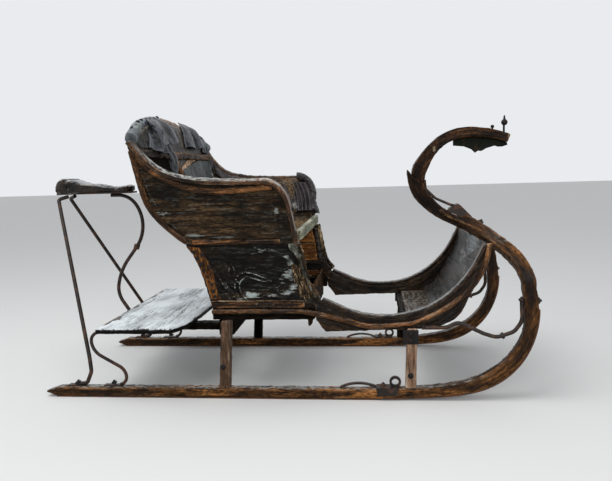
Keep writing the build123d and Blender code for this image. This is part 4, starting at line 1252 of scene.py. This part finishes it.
ARCH_LINE = mm([
    (-486, -552, 1084), (-507, -437, 1142), (-525, -260, 1181), (-541, 0, 1196), (-525, 260, 1181),
    (-507, 437, 1142), (-486, 552, 1084),
])
arch_line = smooth_line(ARCH_LINE, 300)
NAIL_STEP = 15
BARE_FROM = -0.075
BARE_TO = 0.262
FRAY = 0.03
arch_roll = swollen(cut_from("arch_pad", "leather_roll", 0.0056), 0.004, 0.006)
arch_marks = []
for spot in arch_line[14:290:NAIL_STEP]:
    if not -0.06 < spot[1] < 0.26:
        arch_marks.append(([spot + (0.024, 0, -0.010), spot + (0.0245, 0, -0.010)], 0.014, 0.007))
        arch_marks.append(([spot + (-0.004, 0, 0.026), spot + (-0.0035, 0, 0.026)], 0.010, 0.004))
weather(arch_roll, arch_line, bruise=0.0012, soften=0, cell=0.003, scores=arch_marks)
roll_places = places_of(arch_roll.data)
edge_way = roll_places[:, 1] + FRAY * lumps(roll_places, 22)
bare_share = np.clip((edge_way - BARE_FROM) / FRAY, 0, 1) * np.clip((BARE_TO - edge_way) / FRAY, 0, 1)
bare_share *= 0.75 + 0.6 * lumps(roll_places, 45)
lay_open(arch_roll, bare_share)
core = arch_line[((roll_places[:, None, 1:] - arch_line[None, :, 1:]) ** 2).sum(2).argmin(1)]
ripple = lumps(roll_places[:, (1, 0, 2)] * (58, 9, 9), 1)
sink = 0.22 * np.clip(bare_share, 0, 1) + 0.075 * np.clip(ripple + 0.1, -0.6, 1)
roll_places += (core - roll_places) * sink[:, None]
ENDS_FROM = 0.33
ENDS_OVER = 0.20
END_SWELL = 0.22
ends_share = np.clip((np.abs(roll_places[:, 1]) - ENDS_FROM) / ENDS_OVER, 0, 1)
ends_share = (ends_share ** 2 * (3 - 2 * ends_share))[:, None]
roll_places += (roll_places - core) * (0.0, END_SWELL, END_SWELL) * ends_share
roll_places += ends_share * (0.016, 0.0, 0.002)
move_to(arch_roll.data, roll_places)
hand_over(arch_roll, rim_leather, "leather", "arch_pad")

tack = turned("tack", mm([(6.6, -1), (6.2, 1.8), (4, 3.6), (0.6, 4.4)]), 6)
roll_faces = [list(face.vertices) for face in arch_roll.data.polygons]
roll_skin = BVHTree.FromPolygons([tuple(place) for place in roll_places], roll_faces)
tacks = []
for k in range(22, 280, NAIL_STEP):
    up = np.cross(arch_line[k + 2] - arch_line[k], (1, 0, 0))
    up *= np.sign(up[2]) / np.linalg.norm(up)
    forward = lots.choice((0.6, 0.9, 1.6))
    way = Vector(up + (forward, 0, 0)).normalized()
    spot, face_way, _, _ = roll_skin.ray_cast(Vector(arch_line[k]) + way * 0.15, -way)
    if spot and not -0.07 < spot.y < 0.26:
        tacks.append((spot, face_way))
set_in_row("roll_tacks", *zip(*tacks), tack, black_iron, "iron", size=1.1, spread=0.35, lean=0.2, spin=1.5,
           seed=9)


# Arm padding. The left arm keeps its black leather, drawn round the front edge in three pleats, with
# tufts of straw and wool hanging from its front. On the right arm the leather is gone and the straw
# that filled it lies open.
def on_pad(points, back=0.0):
    """Places on the inner face of the left arm's padding, from their X and Z, some way back."""
    return on_wall([(x - back, z) for x, z in points], 1, -0.047)


PLEAT = mm([(72, 876), (104, 820), (120, 725)])
pleats = [(on_pad(PLEAT, back), 0.0065, 0.0085) for back in (0.004, 0.020, 0.037)]
pleats += [(on_pad(PLEAT, back), 0.0055, -0.0045) for back in (0.012, 0.0285, 0.046)]
pleats += [(on_pad(mm([(-30, 736), (40, 733), (120, 735)])), 0.006, 0.006),
           (on_pad(mm([(0, 860), (20, 800), (10, 750)])), 0.010, 0.005)]
PLEATED = mm([(20, 50), (34, 60), (42, 50), (54, 61), (62, 50), (74, 62), (84, 50), (98, 58)])
DRAPE = mm([(-12, 0, 888), (12, 0, 830), (22, 0, 770), (24, 6, 738)])
pleated_rails = [[(back + on, half_width(z) - inset - more, z) for on, more, z in DRAPE]
                 for back, inset in PLEATED]
pleated_rails.append(mm([(96, 468, 893), (132, 447, 838), (145, 430, 780), (148, 412, 738)]))
hide("leather_pleats", pleated_rails, black_leather, rows=40, cols=90, crease=0.0012,
     torn=0.02, fold=0.0, seed=19.0)
left_pad = swollen(cut_from("arm_pad_left", "leather_arm_left", 0.0052), 0.003, 0.005)
weather(left_pad, "ZXY", bruise=0.0014, soften=0, cell=0.0026, scores=pleats)
hand_over(left_pad, black_leather, "leather", "arm_pad_left")

straw_heap = old_leather("straw_heap", (0.020, 0.012, 0.008), (0.10, 0.06, 0.03), gloss=0.8,
                         stuffing=(0.34, 0.22, 0.11))
right_pad = swollen(cut_from("arm_pad_right", "straw_arm_right", 0.0052), 0.003, 0.005)
weather(right_pad, "ZXY", bruise=0.004, soften=0, cell=0.0026)
pad_places = places_of(right_pad.data)
lay_open(right_pad, 0.75 + 0.5 * lumps(pad_places, 30))
hand_over(right_pad, straw_heap, "stuffing", "arm_pad_right")


def ways_for(places, *spans):
    """A way for each place, drawn between the X, Y and Z spans."""
    return [[lots.uniform(*span) for span in spans] for _ in places]


def strewn(name, places, ways, finish, size, seed):
    """Loose stalks on the given places, each near its way."""
    set_in_row(name, places, ways, straw, finish, "stuffing", size=size, spread=0.5, lean=0.9, spin=3.1,
               scatter=0.004, seed=seed)


pad_skin = BVHTree.FromObject(left_pad, bpy.context.evaluated_depsgraph_get())


def on_skin(place):
    """The nearest place on the left arm's padding, 3 mm out from it."""
    spot, out, _, _ = pad_skin.find_nearest(Vector(place))
    return tuple(spot + out * 0.003)


EITHER_WAY = (-1, 1)
PALE_TUFTS = 80
TUFT_LINE = smooth_line(mm([(-11, 445, 903), (18, 438, 853), (21, 425, 801)]), 20)
chosen = [pad_places[lots.randrange(len(pad_places))] for _ in range(240)]
strewn("arm_straw", chosen, ways_for(chosen, EITHER_WAY, (0.0, 0.35), EITHER_WAY), straw_finish, 0.038, 21)
wool = [on_skin((0.037 + lots.uniform(-0.010, 0.012), 0.395, 0.764 + lots.uniform(-0.012, 0.012)))
        for _ in range(60)]
wool_ways = ways_for(wool, EITHER_WAY, EITHER_WAY, EITHER_WAY)
tuft = [on_skin(lots.choice(TUFT_LINE) + (lots.gauss(0, 0.012), 0, lots.gauss(0, 0.008)))
        for _ in range(150)]
tuft_ways = ways_for(tuft, (-0.6, 0.8), (-0.6, 0.1), (-1, 0.5))
strewn("tuft_pale", tuft[:PALE_TUFTS], tuft_ways[:PALE_TUFTS], fibre_finish, 0.036, 27)
strewn("tuft_dark", tuft[PALE_TUFTS:], tuft_ways[PALE_TUFTS:], straw_finish, 0.040, 29)
strewn("arm_wool", wool, wool_ways, wool_finish, 0.018, 23)


# Seat. A board between the sides with a green rail across its front, and on the board a thin heap of
# the straw that fell out of the padding.
rail_finish = old_wood("rail_green", (0.20, 0.20, 0.135), (0.36, 0.36, 0.25), (0.46, 0.45, 0.34),
                       loss=0.4, warmth=0.6, wet=0.1, gloss=0.6, lichen=0.9, dust_sheen=0.4)
SEAT_TOP = 0.6735
worn("seat_rail", "rail_seat", 0.0035, "YZX", rail_finish, "bare_wood")
worn("seat_board", "board_seat", 0.006, "YXZ", floor_finish, "bare_wood")
heap = [(0.085 + lots.uniform(-0.07, 0.045), lots.uniform(-0.02, 0.38),
         SEAT_TOP + abs(lots.gauss(0, 0.008))) for _ in range(420)]
strewn("seat_straw", heap, ways_for(heap, EITHER_WAY, EITHER_WAY, (-0.2, 0.35)), straw_finish, 0.040, 25)


# Platform. A wide board behind the body for the driver's feet, on two bearers, carried at the rear by
# bent iron brackets.
# The deck's top is painted near white, weathered grey with a painted reflection of the sky on the wet board;
# its sides are near black as painted shade.
deck_sheen_finish = old_wood("deck_grey_sky_sheen", (0.78, 0.84, 0.87), (0.83, 0.88, 0.91), (0.10, 0.055, 0.035),
                       loss=0.04, warmth=0.7, wet=0.35, gloss=0.4, dust_sheen=0.0, cracks=1.4, haze=0.0, rubbed=1.6,
                       figure=(0.86, 1.06), mottled=(0.90, 1.05), fibre_bump=0.04,
                       shine=0.06, patch=(0.060, 0.030, 0.020), side_shade=(0.002, 0.0018, 0.0015))
DECK_TOP = 0.312
DECK_CRACKS = mm([
    ([(-600, -200), (-585, -90), (-560, 0)], 3.6, 4), ([(-520, -120), (-500, 20), (-500, 100)], 3.6, 4),
    ([(-460, 60), (-450, 150), (-470, 220)], 3.4, 3), ([(-640, -330), (-650, -200)], 3.4, 3),
])
EDGE_CHIPS = mm([(-340, 24), (-260, 40), (-140, 16), (-20, 26), (100, 16), (220, 26), (340, 20)])
worn("platform", "deck", 0.0046, "YXZ", deck_sheen_finish, "platform_wood", deep=0.055,
     scores=[([(x, y, DECK_TOP) for x, y in line], half, depth) for line, half, depth in DECK_CRACKS],
     blots=[((-0.728, y, DECK_TOP), wide, 0.02, 2.4) for y, wide in EDGE_CHIPS])
foot_nuts = on_both([(-0.846, HALF_TRACK, 0.056), (-0.683, HALF_TRACK, 0.056)])
set_in_row("foot_nuts", foot_nuts, (0, 0, 1), square_nut, black_iron, "iron", spin=1.5, seed=35)
worn("platform_bearers", "deck_bearers", 0.005, "XYZ", black_and_shade_finish, "platform_wood")
dress(iron_finish, *both("platform_bracket"))


# Saddle. Black leather over stuffing on an iron plate, on two long rods from the runners and one
# bent rod from the platform.
# The saddle's pale top sheen, and the pale 'stuffing' colour that the blots show on its knobs and top, are
# painted highlights of the wet leather.
saddle_leather = old_leather("saddle_leather", (0.004, 0.003, 0.003), (0.034, 0.020, 0.012), gloss=0.26,
                             crackle=0.8, stuffing=(0.55, 0.53, 0.50), top_sheen=0.6)
dress(iron_finish, "saddle_plate", "saddle_middle_rod", *both("saddle_rod"))
SADDLE_TUCKS = mm([
    ([(-985, -80, 895), (-990, -50, 938), (-990, 50, 938), (-985, 80, 895)], 10, 6),
    ([(-765, -60, 885), (-760, -30, 908), (-760, 30, 908), (-765, 60, 885)], 8, 4),
    ([(-1080, -70, 888), (-980, -82, 888), (-860, -56, 888), (-750, -58, 888)], 5, 3),
    ([(-1080, 70, 888), (-980, 82, 888), (-860, 56, 888), (-750, 58, 888)], 5, 3),
])
SADDLE_TOP = mm([
    (-1062, 915), (-1040, 938), (-1017, 944), (-990, 941), (-957, 929), (-904, 917), (-829, 912),
    (-753, 911), (-708, 906), (-663, 887),
])
SADDLE_FOOT = 0.876
SADDLE_BEND = -1.0
TAIL_SQUEEZE = 0.34
NEAR_MARK = 0.010
THINNEST = 0.012
MOST_GROWTH = 1.15
saddle = swollen(cut_from("saddle_pad", "leather_saddle", 0.0056), 0.003, 0.006)
spots = places_of(saddle.data)
spots[:, 0] -= np.minimum(spots[:, 0] - SADDLE_BEND, 0) * TAIL_SQUEEZE
marks = []
for x, z in SADDLE_TOP:
    near_mark = spots[np.abs(spots[:, 0] - x) < NEAR_MARK, 2]
    if len(near_mark):
        marks.append((x, (z - SADDLE_FOOT) / max(near_mark.max() - SADDLE_FOOT, THINNEST)))
grown = np.interp(spots[:, 0], *zip(*marks))
spots[:, 2] += np.maximum(spots[:, 2] - SADDLE_FOOT, 0) * (np.minimum(grown, MOST_GROWTH) - 1)
move_to(saddle.data, spots)
# The blots lay open the pale colour on the knobs and top, as painted highlights.
weather(saddle, "XYZ", bruise=0.0018, soften=0, cell=0.0028, scores=SADDLE_TUCKS, deep=0.03,
        blots=[((-1.035, -0.045, 0.936), 0.030, 0.007, 1.1), ((-0.990, -0.045, 0.938), 0.020, 0.006, 0.9),
               ((-0.900, -0.045, 0.914), 0.050, 0.005, 0.7), ((-0.700, -0.035, 0.904), 0.030, 0.006, 1.0)])
hand_over(saddle, saddle_leather, "leather", "saddle_pad")
